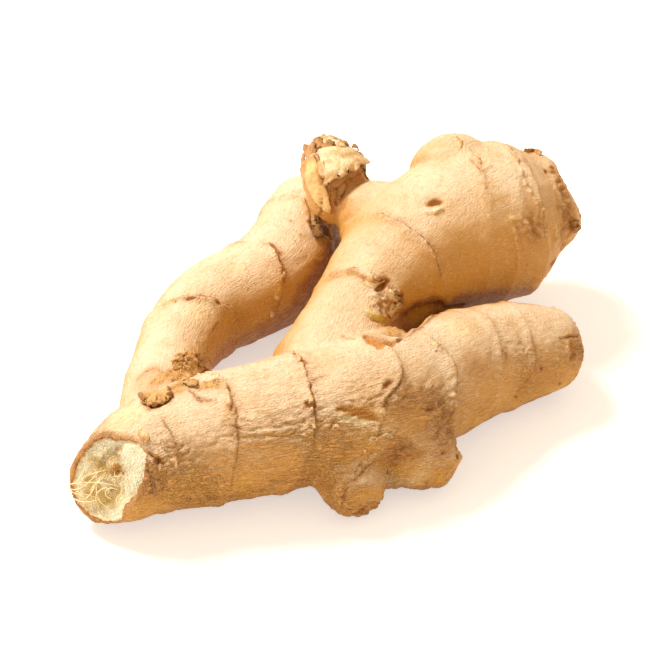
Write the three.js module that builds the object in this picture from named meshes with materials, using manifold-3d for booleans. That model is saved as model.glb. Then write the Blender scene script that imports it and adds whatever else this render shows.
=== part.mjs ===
// A fresh ginger rhizome, 134 mm across, lying on a table.
//
// The whole rhizome grew as one piece, so it is one mesh. It is put together from fingers. Each finger is
// a lathe-turned body whose profile holds the raised scale rings, bent along a smooth spine. The fingers,
// swellings and buds are joined into one solid, the broken end is cut off by a plane, and a last cut at the
// table leaves the small flats that the rhizome rests on.
//
// Frame: millimetres, +Z up, +X along the main stem, +Y towards the tip of the back finger. The origin is
// on the table, under the middle of the box that the rhizome fills.

import * as THREE from 'three';
import { mergeVertices } from 'three/addons/utils/BufferGeometryUtils.js';
import Module from 'manifold-3d';

const wasm = await Module();
wasm.setup();

// ---- driving dimensions, mm ----

const STATION_STEP = 3.6; // distance between cross-sections where a finger is plain
const RING_RAMP = 2.4; // length over which the skin climbs to the edge of a ring
const RING_DROP = 0.45; // length over which it falls off behind the edge
const RING_CLEARANCE = 1; // a plain cross-section keeps this far from a ring
const CAP_STEPS = [0, 0.25, 0.5, 0.75]; // cross-sections of a rounded end, as shares of a quarter turn
const MERGE_DISTANCE = 1e-3; // corners closer than this are one corner

// Each finger has
//   spine: points [x, y, z, radius];
//   rings: its scale rings, each [distance along the spine, how much further along it runs on the top,
//     how much further along on the right-hand side];
//   rise: how far its rings stand proud;
//   ends: how far each end bulges, as a share of its radius;
//   facets: how many sides go round it.
const FINGERS = {
  mainStem: {
    spine: [
      [-60.5, -58.5, 12.5, 9.4], [-55, -55.5, 13.2, 11.8], [-48.5, -50.8, 14.3, 13.8],
      [-38.5, -46, 14.9, 15.5], [-29, -43.4, 15.7, 16], [-19, -41.6, 16.8, 16.3],
      [-10.5, -39, 17.3, 16.6], [0, -36.5, 17.6, 17], [7.5, -33.5, 17.8, 17.3],
      [16.5, -28, 17.2, 16.8], [26, -20.3, 16.4, 15.8], [34, -14, 14.8, 14.8],
      [42, -9.2, 13.5, 14], [50.5, -6.6, 13.2, 12.6], [57.4, -5, 13, 11],
    ],
    rings: [
      [16.5, 3, 0], [33, 5, 2], [51.6, 6, -1], [66.5, 10.5, 0],
      [84.8, 5, 0], [100.5, 8, 0], [118, 3.5, 0.5],
    ],
    rise: 0.7,
    ends: [0.7, 0.6],
    facets: 32,
  },
  backFinger: {
    spine: [
      [-46.5, -41, 13, 10.6], [-45.5, -26.5, 13, 10.9], [-44, -7, 12, 10.6],
      [-38, 9, 12.5, 12.4], [-31, 16.5, 12.5, 13.3], [-20, 24.5, 13.2, 13.9],
      [-12, 38, 14.3, 14.2], [-9, 54.5, 14, 12.8], [-9, 61, 14, 11],
    ],
    rings: [[45.5, 0.5, 5.5], [66.8, 7, 2], [94, 2, -8]],
    rise: 0.7,
    ends: [0.5, 0.4],
    facets: 28,
  },
  crown: {
    spine: [
      [-6.5, -34, 14, 14.4], [-3.6, -21.8, 15, 15.8], [0.5, -12, 18, 14.6], [4, -2.5, 20.5, 13],
      [9, 5.5, 22.5, 15.2], [17, 15, 25, 18.4], [26, 23.2, 27.2, 20.8], [36.5, 29.5, 28, 22.2],
      [47, 34.5, 28, 21.6], [54.3, 38, 28, 16.6],
    ],
    rings: [[36, 3.5, 0.5], [53, 2.5, 0.5], [74.3, 7, -3], [86.3, 5, -4], [92.6, 1, 0]],
    rise: 0.7,
    ends: [0.5, 0.75],
    facets: 32,
  },
  shoulder: {
    spine: [[15, 17, 23, 12], [10, 30.5, 31, 10.8]],
    rings: [],
    ends: [0.5, 0.95],
    facets: 24,
  },
  crownSwelling: {
    spine: [[32.5, 29, 29, 15], [32, 38.6, 38.3, 13.2]],
    rings: [],
    ends: [0.5, 0.95],
    facets: 24,
  },
  crownNub: {
    spine: [[58, 37, 26, 6], [65.5, 37, 25, 2.2]],
    rings: [],
    ends: [0.5, 0.8],
    facets: 12,
  },
  rootStub: {
    spine: [[-1, -44, 11.5, 11], [2.2, -51, 8.8, 8.4], [5, -57.5, 7.5, 6.2]],
    rings: [[10.5, 0, 0]],
    rise: 0.7,
    ends: [0.5, 0.15],
    facets: 18,
  },
  frontLobe: {
    spine: [[14, -36, 12.5, 14], [21.5, -43, 9.5, 10], [26.5, -46, 8, 5.5]],
    rings: [],
    ends: [0.5, 0.8],
    facets: 20,
  },
  frontSpur: {
    spine: [[28, -28.5, 13, 6.7], [32.5, -32, 12, 3.3]],
    rings: [],
    ends: [0.5, 0.7],
    facets: 14,
  },
  driedBud: {
    spine: [
      [-2.2, 31.5, 31, 4.6], [-2.2, 36, 34.3, 7], [-1.6, 40.5, 37.3, 8.8], [-1.7, 45, 39.3, 8.2],
      [-3.5, 50, 41, 4.3],
    ],
    rings: [[9, 1.5, 1], [15, -1, 1]],
    rise: 1.1,
    ends: [0.5, 0.6],
    facets: 20,
  },
};

// The broken end: a plane through a point, with its outward direction.
const BROKEN_END = { point: [-59, -58.5, 13], outward: [-0.55, -0.7, 0.45] };
const CUTTER_SIZE = 400; // side of the blocks that cut away what is past a plane

// ---- finger bodies ----

// A smooth curve through the spine points, with the radius carried along the same parameter.
class Spine {
  constructor(points) {
    const centres = points.map(([x, y, z]) => new THREE.Vector3(x, y, z));
    const radii = points.map(([, , , radius]) => new THREE.Vector3(radius, 0, 0));
    this.centre = new THREE.CatmullRomCurve3(centres, false, 'catmullrom');
    this.girth = new THREE.CatmullRomCurve3(radii, false, 'catmullrom');
    this.length = this.centre.getLength();
  }

  // The spine goes on straight past both of its ends, with the radius of that end.
  at(distance) {
    const inside = THREE.MathUtils.clamp(distance, 0, this.length);
    const t = this.centre.getUtoTmapping(inside / this.length);
    const tangent = this.centre.getTangent(t);
    const side = new THREE.Vector3().crossVectors(tangent, new THREE.Vector3(0, 0, 1)).normalize();
    const up = new THREE.Vector3().crossVectors(side, tangent);
    const point = this.centre.getPoint(t).addScaledVector(tangent, distance - inside);
    return { point, side, up, radius: this.girth.getPoint(t).x };
  }
}

// Height of the scale rings at a distance along the spine: a slow climb to each edge and a quick drop.
function ringRise(distance, rings, rise) {
  const heights = rings.map(([edge]) => {
    const past = distance - edge;
    return rise * (past < 0 ? 1 + past / RING_RAMP : 1 - past / RING_DROP);
  });
  return Math.max(0, ...heights);
}

// How far the cross-section at a distance leans along the finger, on its top and on its side. The lean goes
// evenly from one ring's to the next one's, and it is none at both ends.
function leanAt(distance, length, rings) {
  const known = [[0, 0, 0], ...rings, [length, 0, 0]];
  const next = known.findIndex(([at]) => at >= distance);
  if (next < 1) return { top: 0, side: 0 };
  const [from, top, side] = known[next - 1];
  const [to, nextTop, nextSide] = known[next];
  const share = (distance - from) / (to - from);
  const { lerp } = THREE.MathUtils;
  return { top: lerp(top, nextTop, share), side: lerp(side, nextSide, share) };
}

// Distances at which a finger gets a cross-section: even steps, and three close ones at each ring.
function stations(length, rings) {
  const count = Math.round(length / STATION_STEP);
  const even = Array.from({ length: count + 1 }, (_, i) => (i * length) / count);
  const close = rings.flatMap(([edge]) => [edge - RING_RAMP, edge, edge + RING_DROP]);
  const isPlain = (s) =>
    rings.every(([edge]) => s < edge - RING_RAMP - RING_CLEARANCE || s > edge + RING_DROP + RING_CLEARANCE);
  return [...even.filter(isPlain), ...close].sort((a, b) => a - b);
}

// The lathe profile: distances along the spine against shares of the finger's own radius.
function profileOf(spine, { rings, rise, ends }) {
  const cap = (bulge, distance) =>
    CAP_STEPS.map((share) => {
      const angle = (share * Math.PI) / 2;
      const past = bulge * spine.at(distance).radius * Math.cos(angle);
      return new THREE.Vector2(Math.sin(angle), distance + past);
    });
  const start = cap(-ends[0], 0);
  const body = stations(spine.length, rings).map(
    (s) => new THREE.Vector2(1 + ringRise(s, rings, rise) / spine.at(s).radius, s),
  );
  const end = cap(ends[1], spine.length).toReversed();
  return [...start, ...body, ...end];
}

function finger(shape) {
  const spine = new Spine(shape.spine);
  const geometry = new THREE.LatheGeometry(profileOf(spine, shape), shape.facets);
  const position = geometry.getAttribute('position');
  for (let i = 0; i < position.count; i++) {
    const toSide = position.getX(i);
    const along = position.getY(i);
    const toTop = position.getZ(i);
    const lean = leanAt(along, spine.length, shape.rings);
    const { point, side, up, radius } = spine.at(along + lean.side * toSide + lean.top * toTop);
    point.addScaledVector(side, toSide * radius).addScaledVector(up, toTop * radius);
    position.setXYZ(i, point.x, point.y, point.z);
  }
  return solid(geometry);
}

// ---- solids ----

function solid(geometry) {
  const bare = geometry.clone();
  bare.deleteAttribute('normal');
  bare.deleteAttribute('uv');
  const merged = mergeVertices(bare, MERGE_DISTANCE);
  const corners = merged.index.array;
  const kept = [];
  for (let i = 0; i < corners.length; i += 3) {
    const [a, b, c] = corners.slice(i, i + 3);
    if (a !== b && b !== c && c !== a) kept.push(a, b, c);
  }
  return new wasm.Manifold(
    new wasm.Mesh({
      numProp: 3,
      vertProperties: new Float32Array(merged.getAttribute('position').array),
      triVerts: new Uint32Array(kept),
    }),
  );
}

// A block whose near face is the plane through point, on the side that outward points to.
function cutter({ point, outward }) {
  const direction = new THREE.Vector3(...outward).normalize();
  const block = new THREE.BoxGeometry(CUTTER_SIZE, CUTTER_SIZE, CUTTER_SIZE);
  block.translate(0, 0, CUTTER_SIZE / 2);
  block.applyQuaternion(new THREE.Quaternion().setFromUnitVectors(new THREE.Vector3(0, 0, 1), direction));
  block.translate(...point);
  return solid(block);
}

function geometryOf(made) {
  const mesh = made.getMesh();
  const geometry = new THREE.BufferGeometry();
  geometry.setAttribute('position', new THREE.BufferAttribute(mesh.vertProperties, 3));
  geometry.setIndex(new THREE.BufferAttribute(mesh.triVerts, 1));
  geometry.computeVertexNormals();
  return geometry;
}

const grown = Object.values(FINGERS).map(finger).reduce((sum, next) => sum.add(next));
const table = cutter({ point: [0, 0, 0], outward: [0, 0, -1] });
const whole = grown.subtract(cutter(BROKEN_END)).subtract(table);

const rhizome = new THREE.Mesh(
  geometryOf(whole),
  new THREE.MeshStandardMaterial({ color: 0xd9b27c, roughness: 0.7, metalness: 0 }),
);
rhizome.name = 'rhizome';

const group = new THREE.Group();
group.add(rhizome);
export default group;
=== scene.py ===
# %% [markdown]
# # A fresh ginger root
#
# Ginger grows underground as a rhizome: a thick stem that pushes out fingers. Each finger is ringed by the
# edges of old scale leaves, and its thin skin is wrinkled along its length. This lesson builds one such root:
# the skin with its rings and marks, the broken end with its fibres, a dried bud and other scraps of old leaf,
# then the light and the camera.
#
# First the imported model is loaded. It gives the true size and place of everything that follows, in metres,
# and nothing in it is moved or resized.

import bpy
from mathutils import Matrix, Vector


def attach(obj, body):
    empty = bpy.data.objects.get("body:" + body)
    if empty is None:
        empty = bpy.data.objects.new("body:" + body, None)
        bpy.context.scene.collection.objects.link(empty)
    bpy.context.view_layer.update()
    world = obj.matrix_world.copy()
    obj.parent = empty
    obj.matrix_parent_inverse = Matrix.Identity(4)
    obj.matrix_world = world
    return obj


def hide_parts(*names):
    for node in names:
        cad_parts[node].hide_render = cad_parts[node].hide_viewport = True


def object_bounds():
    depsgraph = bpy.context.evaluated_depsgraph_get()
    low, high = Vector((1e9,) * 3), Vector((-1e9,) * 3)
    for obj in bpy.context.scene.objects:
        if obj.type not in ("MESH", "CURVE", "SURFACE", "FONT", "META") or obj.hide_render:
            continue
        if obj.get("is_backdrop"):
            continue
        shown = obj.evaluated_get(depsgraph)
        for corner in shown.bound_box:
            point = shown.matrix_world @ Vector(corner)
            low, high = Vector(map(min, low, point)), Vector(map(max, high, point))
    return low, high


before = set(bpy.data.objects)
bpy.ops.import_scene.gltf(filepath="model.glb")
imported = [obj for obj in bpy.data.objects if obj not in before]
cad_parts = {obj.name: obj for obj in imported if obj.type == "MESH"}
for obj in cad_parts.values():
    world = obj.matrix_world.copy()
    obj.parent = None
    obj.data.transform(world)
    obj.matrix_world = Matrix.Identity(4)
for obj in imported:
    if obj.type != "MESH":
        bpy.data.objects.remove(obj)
cad_box = [list(corner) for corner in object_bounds()]

import math
import random

import bpy
import numpy as np
from mathutils import Vector, noise
from mathutils.bvhtree import BVHTree
from mathutils.kdtree import KDTree

MM = 0.001
FULL_TURN = 2 * math.pi
print("the root fills", [round((high - low) / MM, 1) for low, high in zip(*cad_box)], "mm")

# %% [markdown]
# ## Small helpers
#
# An operator works on whatever is selected, so each step starts by selecting one thing only. Positions and
# normals are read into NumPy arrays, because moving a hundred thousand points one by one is slow. Noise comes
# in smooth lumps of a given size, and a seed gives the same lumps on every run.

# %% Helpers
def select_only(piece):
    bpy.ops.object.select_all(action="DESELECT")
    piece.select_set(True)
    bpy.context.view_layer.objects.active = piece


def apply_modifier(piece, kind, **settings):
    select_only(piece)
    modifier = piece.modifiers.new(kind, kind)
    for name, value in settings.items():
        setattr(modifier, name, value)
    bpy.ops.object.modifier_apply(modifier=modifier.name)


def points_of(piece):
    points = np.empty(len(piece.data.vertices) * 3)
    piece.data.vertices.foreach_get("co", points)
    return points.reshape(-1, 3)


def normals_of(piece):
    normals = np.empty(len(piece.data.vertices) * 3)
    piece.data.vertex_normals.foreach_get("vector", normals)
    return normals.reshape(-1, 3)


def move_points(piece, points):
    piece.data.vertices.foreach_set("co", points.ravel())
    piece.data.update()


def store(piece, name, values):
    kind = "FLOAT" if values.ndim == 1 else "FLOAT_VECTOR"
    layer = piece.data.attributes.new(name, kind, "POINT")
    layer.data.foreach_set("value" if values.ndim == 1 else "vector", values.astype(np.float32).ravel())


def tree_of(piece):
    """The piece's faces, sorted so that the nearest one, or the one that a ray hits, is found quickly."""
    return BVHTree.FromPolygons(points_of(piece).tolist(), [tuple(p.vertices) for p in piece.data.polygons])


def unit(vector):
    return np.array(vector, float) / np.linalg.norm(vector)


def blocks(items, size):
    """The items in runs of that many, because a table of all their distances at once would be too large."""
    return [items[start:start + size] for start in range(0, len(items), size)]


def smoothstep(low, high, value):
    share = np.clip((value - low) / (high - low), 0, 1)
    return share * share * (3 - 2 * share)


def rough(points, size, seed=0):
    """Smooth random values from -1 to 1, in lumps of about that size."""
    shifted = points / size + np.array([seed * 17.3, seed * 5.9, seed * 31.7])
    return np.array([noise.noise(p) for p in shifted.tolist()])

# %% [markdown]
# ## The growth lines
#
# Each finger grew along a line through its middle. The lines below are the same smooth curves that the solid
# model is bent along: points with x, y, z and the finger's radius, in millimetres. They tell for any point of
# the skin how far along its finger it lies, and on which side. Rings and wrinkles follow from these two.

# %% Growth lines
GROWTH_POINTS = {
    "stem": [
        (-60.5, -58.5, 12.5, 9.4), (-55, -55.5, 13.2, 11.8), (-48.5, -50.8, 14.3, 13.8),
        (-38.5, -46, 14.9, 15.5), (-29, -43.4, 15.7, 16), (-19, -41.6, 16.8, 16.3), (-10.5, -39, 17.3, 16.6),
        (0, -36.5, 17.6, 17), (7.5, -33.5, 17.8, 17.3), (16.5, -28, 17.2, 16.8), (26, -20.3, 16.4, 15.8),
        (34, -14, 14.8, 14.8), (42, -9.2, 13.5, 14), (50.5, -6.6, 13.2, 12.6), (57.4, -5, 13, 11),
    ],
    "back finger": [
        (-46.5, -41, 13, 10.6), (-45.5, -26.5, 13, 10.9), (-44, -7, 12, 10.6), (-38, 9, 12.5, 12.4),
        (-31, 16.5, 12.5, 13.3), (-20, 24.5, 13.2, 13.9), (-12, 38, 14.3, 14.2), (-9, 54.5, 14, 12.8),
        (-9, 61, 14, 11),
    ],
    "crown": [
        (-6.5, -34, 14, 14.4), (-3.6, -21.8, 15, 15.8), (0.5, -12, 18, 14.6), (4, -2.5, 20.5, 13),
        (9, 5.5, 22.5, 15.2), (17, 15, 25, 18.4), (26, 23.2, 27.2, 20.8), (36.5, 29.5, 28, 22.2),
        (47, 34.5, 28, 21.6), (54.3, 38, 28, 16.6),
    ],
}
STEPS_PER_SPAN = 24
POINTS_AT_ONCE = 20_000


class GrowthLine:
    """A smooth curve through points of x, y, z and radius, in mm, with its length measured along it."""

    def __init__(self, points):
        table = np.array(points, float)
        table = np.vstack([2 * table[0] - table[1], table, 2 * table[-1] - table[-2]])
        t = np.linspace(0, 1, STEPS_PER_SPAN, endpoint=False)[:, None]
        spans = []
        for before, start, end, after in zip(table, table[1:], table[2:], table[3:]):
            bend = 2 * before - 5 * start + 4 * end - after
            twist = 3 * start - before - 3 * end + after
            spans.append(0.5 * (2 * start + (end - before) * t + bend * t**2 + twist * t**3))
        line = np.vstack([*spans, table[-2][None]])
        self.centre, self.radius = line[:, :3], line[:, 3]
        steps = np.linalg.norm(np.diff(self.centre, axis=0), axis=1)
        self.s = np.concatenate([[0], np.cumsum(steps)])
        self.tangent = np.gradient(self.centre, self.s, axis=0)
        self.length = self.s[-1]

    def at(self, s):
        """Centre, tangent, right-hand side, upward side and radius at distances s along the finger."""
        inside = np.clip(s, 0, self.length)
        centre = np.stack([np.interp(inside, self.s, self.centre[:, k]) for k in range(3)], -1)
        tangent = np.stack([np.interp(inside, self.s, self.tangent[:, k]) for k in range(3)], -1)
        tangent /= np.linalg.norm(tangent, axis=-1, keepdims=True)
        centre = centre + tangent * (s - inside)[..., None]
        side = np.cross(tangent, [0, 0, 1])
        side /= np.linalg.norm(side, axis=-1, keepdims=True)
        up = np.cross(side, tangent)
        return centre, tangent, side, up, np.interp(inside, self.s, self.radius)

    def nearest(self, points):
        return ((points[:, None, :] - self.centre[None]) ** 2).sum(-1).argmin(1)

    def locate(self, points):
        """Where points in mm lie: distance along the finger, angle round it, distance from its line, radius.

        The angle is 0 on the right-hand side and a quarter turn on top."""
        nearest = np.concatenate([self.nearest(block) for block in blocks(points, POINTS_AT_ONCE)])
        s = self.s[nearest] + ((points - self.centre[nearest]) * self.tangent[nearest]).sum(1)
        centre, tangent, side, up, radius = self.at(s)
        offset = points - centre
        x, z = (offset * side).sum(1), (offset * up).sum(1)
        return s, np.arctan2(z, x), np.hypot(x, z), radius


LINES = {name: GrowthLine(points) for name, points in GROWTH_POINTS.items()}
for name, line in LINES.items():
    print(f"{name}: {line.length:.0f} mm long")

# %% [markdown]
# ## The broken end
#
# The left end was snapped off along a plane. A place on it is told by how far right and up it lies, as
# someone who faces the broken end sees it. Far from that end the depth behind the plane means nothing, so
# points there simply count as deep.

# %% Where the root was snapped off
BREAK_POINT = np.array([-59, -58.5, 13])
BREAK_OUT = unit([-0.55, -0.7, 0.45])
BREAK_RIGHT = unit(np.cross([0, 0, 1], BREAK_OUT))
BREAK_UP = np.cross(BREAK_OUT, BREAK_RIGHT)
BREAK_CENTRE = np.array([2.0, 4.0])
BREAK_REACH = 17
DEEP = 50.0


def on_break(right, up, out=0.0):
    """The place that lies this far right, up and out on the broken end, in mm."""
    return tuple(BREAK_POINT + right * BREAK_RIGHT + up * BREAK_UP + out * BREAK_OUT)


def across_break(points):
    """How far right and how far up each point lies on the broken end, in mm."""
    return (points - BREAK_POINT) @ BREAK_RIGHT, (points - BREAK_POINT) @ BREAK_UP


def round_break(points):
    """Each point's angle round the middle of the broken end, and its distance from there in mm."""
    right, up = across_break(points)
    right, up = right - BREAK_CENTRE[0], up - BREAK_CENTRE[1]
    return np.arctan2(up, right), np.hypot(right, up)


def break_depth(points):
    """How far behind the plane of the break a point lies, in mm; far away from it a point counts as deep."""
    depth = (BREAK_POINT - points) @ BREAK_OUT
    far = np.linalg.norm(points - BREAK_POINT, axis=1) > BREAK_REACH
    return np.where(far, DEEP, depth)


print("the broken end faces", [round(float(value), 2) for value in BREAK_OUT])

# %% [markdown]
# ## The blank
#
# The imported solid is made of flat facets. A voxel remesh covers it with an even net of small squares, like
# pulling a fine stocking over it, and smoothing then rounds the facets away. A root smoothed all over would
# lose its crisp broken end, so the rim of the break is kept out of most of the smoothing. The result is the
# blank that all of the skin is carved on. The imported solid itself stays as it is: only a copy is changed.

# %% Make the blank
VOXEL = 0.42 * MM
WELD = 0.001 * MM
ROUNDS_ALL, ROUNDS_BODY = 3, 45
RIM_DEPTH, RIM_THICK, NEAR_BREAK = 2.2, 0.6, 8
RIM_FACING = (0.3, 0.85)
GROUP_STEPS = 10


def rim_distance(piece):
    """Distance in mm from every point to the sharp rim of the break."""
    points, facing = points_of(piece) / MM, normals_of(piece) @ BREAK_OUT
    depth = break_depth(points)
    rim = points[(depth < RIM_THICK) & (facing > RIM_FACING[0]) & (facing < RIM_FACING[1])]
    distance = np.full(len(points), DEEP)
    for block in blocks(np.nonzero(depth < NEAR_BREAK)[0], 2000):
        distance[block] = np.linalg.norm(points[block][:, None] - rim[None], axis=2).min(1)
    return distance


def make_blank():
    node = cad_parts["rhizome"]
    blank = bpy.data.objects.new("skin", node.data.copy())
    bpy.context.scene.collection.objects.link(blank)
    blank.data.materials.clear()
    select_only(blank)
    bpy.ops.object.mode_set(mode="EDIT")
    bpy.ops.mesh.select_all(action="SELECT")
    bpy.ops.mesh.remove_doubles(threshold=WELD)
    bpy.ops.object.mode_set(mode="OBJECT")
    apply_modifier(blank, "REMESH", mode="VOXEL", voxel_size=VOXEL)
    apply_modifier(blank, "SMOOTH", factor=0.5, iterations=ROUNDS_ALL)
    away_from_rim = smoothstep(RIM_DEPTH * 0.4, RIM_DEPTH, rim_distance(blank))
    body = blank.vertex_groups.new(name="body")
    for step in range(1, GROUP_STEPS + 1):
        chosen = np.nonzero(np.round(away_from_rim * GROUP_STEPS) == step)[0]
        body.add(chosen.tolist(), step / GROUP_STEPS, "REPLACE")
    apply_modifier(blank, "SMOOTH", factor=0.5, iterations=ROUNDS_BODY, vertex_group="body")
    blank.vertex_groups.clear()
    return blank


skin = make_blank()
print(len(skin.data.vertices), "points on the blank")

# %% [markdown]
# The rim is measured on the blank as a radius for every direction round the middle of the broken end. After
# that, any point can be asked how far inside or outside the rim it lies.

# %% The rim of the break
RIM_LEVEL, RIM_STEP, RIM_WINDOW = 0.5, 4, 5
FACE_DEPTH, RIM_EASE = 2.5, 0.35


def measure_rim(piece):
    points = points_of(piece) / MM
    angle, away = round_break(points[np.abs(break_depth(points)) < RIM_LEVEL])
    steps = np.radians(np.arange(-180, 180, RIM_STEP))
    return steps, np.array([away[np.abs(angle - step) < math.radians(RIM_WINDOW)].max() for step in steps])


def rim_gap(points):
    """Distance in mm to the rim of the break: positive on the broken face, negative on the skin."""
    depth = break_depth(points)
    angle, away = round_break(points)
    inside = np.interp(angle, RIM_ANGLES, RIM_RADII, period=FULL_TURN) - away
    return np.where((depth < FACE_DEPTH) & (inside > RIM_EASE), inside, np.minimum(RIM_EASE, -depth))


RIM_ANGLES, RIM_RADII = measure_rim(skin)
print("the broken end is", round(2 * RIM_RADII.mean(), 1), "mm across")

# %% [markdown]
# The bare flesh doesn't end at the rim. On the left a band of skin covers its edge, and on the right the skin
# tore off past it. Its outline is a ring of places on the plane of the break, in mm to the right and up, and
# noise in two sizes tears it.

# %% The outline of the flesh
FLESH_OUTLINE = np.array([
    (-7.6, -4.1), (-8.3, 0.4), (-7.2, 5.4), (-4.9, 9.6), (-1.3, 12.4), (1.2, 12.7), (3.6, 13.9), (8.1, 14.9),
    (10.6, 13.6), (11.4, 10.4), (12.2, 7.6), (11.6, 4.4), (10.6, 1.4), (9.0, -0.6), (8.6, -2.8), (9.2, -4.8),
    (6.3, -6.9), (0.4, -8.1), (-5.4, -7.1)]) - BREAK_CENTRE
FLESH_ANGLES = np.arctan2(FLESH_OUTLINE[:, 1], FLESH_OUTLINE[:, 0])
FLESH_RADII = np.hypot(FLESH_OUTLINE[:, 0], FLESH_OUTLINE[:, 1])
FLESH_ROUND = 10
FLESH_TEARS = [(0.35, 2.6, 95), (0.35, 0.9, 96)]
FLESH_DEPTH = 1.2


def flesh_gap(points):
    """Distance in mm to the outline of the flesh, positive on the flesh."""
    angle, away = round_break(points)
    circle = np.stack([np.cos(angle), np.sin(angle), 0 * angle], -1) * FLESH_ROUND
    edge = np.interp(angle, FLESH_ANGLES, FLESH_RADII, period=FULL_TURN)
    for amount, size, seed in FLESH_TEARS:
        edge = edge + amount * rough(circle, size, seed)
    return edge - away - np.maximum(0, break_depth(points) - FLESH_DEPTH)


print("the flesh is", round(2 * FLESH_RADII.mean(), 1), "mm across")

# %% [markdown]
# ## Which finger is this?
#
# A point on the skin belongs to the finger whose surface it lies closest to. Where two fingers meet, it is
# shared between them, so that rings and wrinkles fade from one into the other with no seam.

# %% Share the skin among the fingers
SHARED_WIDTH = 1.1
END_BULGE = 0.6


class Place:
    """Where points of the skin lie: along and round each finger, and how much they belong to it."""

    def __init__(self, points):
        self.mm = points / MM
        self.s, self.angle, self.straight, gap = {}, {}, {}, {}
        for name, line in LINES.items():
            s, angle, away, radius = line.locate(self.mm)
            past_end = np.maximum(0, np.maximum(-s, s - line.length)) / END_BULGE
            self.s[name], self.angle[name] = s, angle
            self.straight[name] = np.stack([s, away * np.cos(angle), away * np.sin(angle)], -1)
            gap[name] = np.hypot(away, past_end) - radius
        nearest = np.minimum.reduce(list(gap.values()))
        weight = {name: np.exp(-(gap[name] - nearest) / SHARED_WIDTH) for name in LINES}
        total = sum(weight.values())
        self.share = {name: weight[name] / total for name in LINES}


place = Place(points_of(skin))
for name in LINES:
    print(f"{name} holds {place.share[name].mean():.0%} of the points")

# %% [markdown]
# ## The rings
#
# A scale leaf once wrapped the finger at every ring. It dried and tore away, and left a ragged edge all the
# way round. Each ring is written down as a few places: an angle round the finger, in degrees (0 is the right
# side, 90 the top), and how far along the finger the edge runs there, in mm. A smooth curve joins them, and
# seeded noise makes it ragged. A ring also says how far its edge lifts, how dark it is, and between which
# angles it is most torn.

# %% Ring places
RINGS = {
    "stem": [
        {"edge": [(15, 16.1), (46, 20.4), (68, 19.1), (98, 18.5), (159, 16.9), (215, 14.5), (270, 13.5),
                  (320, 14.5)],
         "lift": 0.26, "dark": 0.55, "torn": (15, 110)},
        {"edge": [(-20, 32.7), (11, 35.2), (36, 38.5), (62, 39.5), (89, 37.9), (150, 34), (215, 29),
                  (270, 28)],
         "lift": 0.3, "dark": 0.34, "torn": (-40, 100)},
        {"edge": [(-25, 47.5), (6, 50.9), (31, 55.9), (69, 56.6), (90, 56.8), (135, 55), (215, 49),
                  (270, 45.5)],
         "lift": 0.34, "dark": 0.75, "torn": (25, 130)},
        {"edge": [(-13, 61.1), (1, 66.9), (21, 69.3), (43, 71.2), (51, 74.7), (67, 77.3), (81, 77.4),
                  (130, 74), (215, 60), (270, 56), (320, 58)],
         "lift": 0.55, "dark": 0.5, "torn": (-30, 68)},
        {"edge": [(7, 84.2), (27, 86.6), (50, 89.9), (78, 89.2), (130, 88), (215, 82), (270, 80),
                  (320, 81)],
         "lift": 0.65, "dark": 0.45, "torn": (0, 95)},
        {"edge": [(14, 102.2), (47, 106.2), (77, 108.9), (130, 106), (215, 96), (270, 92.5), (320, 96)],
         "lift": 0.22, "dark": 0.3, "torn": (0, 60)},
        {"edge": [(4, 117.9), (30, 121.6), (65, 121.9), (85, 121.1), (135, 120), (215, 116), (270, 114.5)],
         "lift": 0.25, "dark": 0.35, "torn": (0, 60)},
    ],
    "back finger": [
        {"edge": [(-5, 50.9), (35, 51), (70, 47.6), (108, 43.4), (150, 41.5), (215, 41), (270, 45),
                  (320, 49)],
         "lift": 0.4, "dark": 1.0, "torn": (-10, 130)},
        {"edge": [(-6, 67.5), (38, 72.7), (52, 74.2), (83, 75.6), (112, 71.4), (160, 66), (215, 61),
                  (270, 60)],
         "lift": 0.42, "dark": 1.0, "torn": (-20, 130)},
        {"edge": [(62, 87), (86, 95.9), (115, 99.2), (140, 102), (180, 102), (230, 97), (290, 89),
                  (340, 86)],
         "lift": 0.35, "dark": 0.7, "torn": (60, 150)},
    ],
    "crown": [
        {"edge": [(20, 38.1), (57, 40.2), (91, 39.3), (119, 37.1), (180, 35.5), (230, 33.5), (270, 32.5),
                  (330, 34.5)],
         "lift": 0.5, "dark": 0.7, "torn": (20, 130)},
        {"edge": [(-8, 51.8), (24, 53.8), (48, 57), (81, 55.7), (111, 56), (160, 54), (230, 51),
                  (290, 50.5)],
         "lift": 0.5, "dark": 0.8, "torn": (20, 120)},
        {"edge": [(-15, 73.9), (23, 71.5), (46, 75.8), (76, 81.3), (97, 83.1), (150, 79), (230, 72),
                  (290, 68.5)],
         "lift": 0.14, "dark": 0.12, "torn": (60, 110)},
        {"edge": [(-22, 86.4), (12, 83.7), (35, 83.7), (75, 92.3), (91, 93.3), (150, 92.5), (230, 86),
                  (290, 82)],
         "lift": 0.18, "dark": 0.12, "torn": (60, 100)},
        {"edge": [(4, 94.1), (27, 93.8), (45, 92.9), (90, 96), (150, 96), (230, 92), (290, 91)],
         "lift": 0.25, "dark": 0.25, "torn": (0, 360)},
    ],
}
print(sum(len(rings) for rings in RINGS.values()), "rings")

# %% [markdown]
# Each ring becomes a table over the angle: where its ragged edge runs, and how strong it is there. Where the
# ring isn't torn, it is calmer and weaker.

# %% Lay the rings
ROUND_STEPS = 1440
CURVE_EASE, TORN_EASE = math.radians(5), math.radians(12)
RAGGED = [(5.0, 0.7), (1.6, 0.32), (0.6, 0.16)]
CALM, WEAK = 0.35, 0.3


def within(angles, start, end):
    """1 inside an arc given in degrees, fading to 0 outside it."""
    middle, half = math.radians((start + end) / 2), math.radians((end - start) / 2)
    apart = np.abs((angles - middle + math.pi) % FULL_TURN - math.pi)
    return 1 - smoothstep(half - TORN_EASE, half + TORN_EASE, apart)


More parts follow.
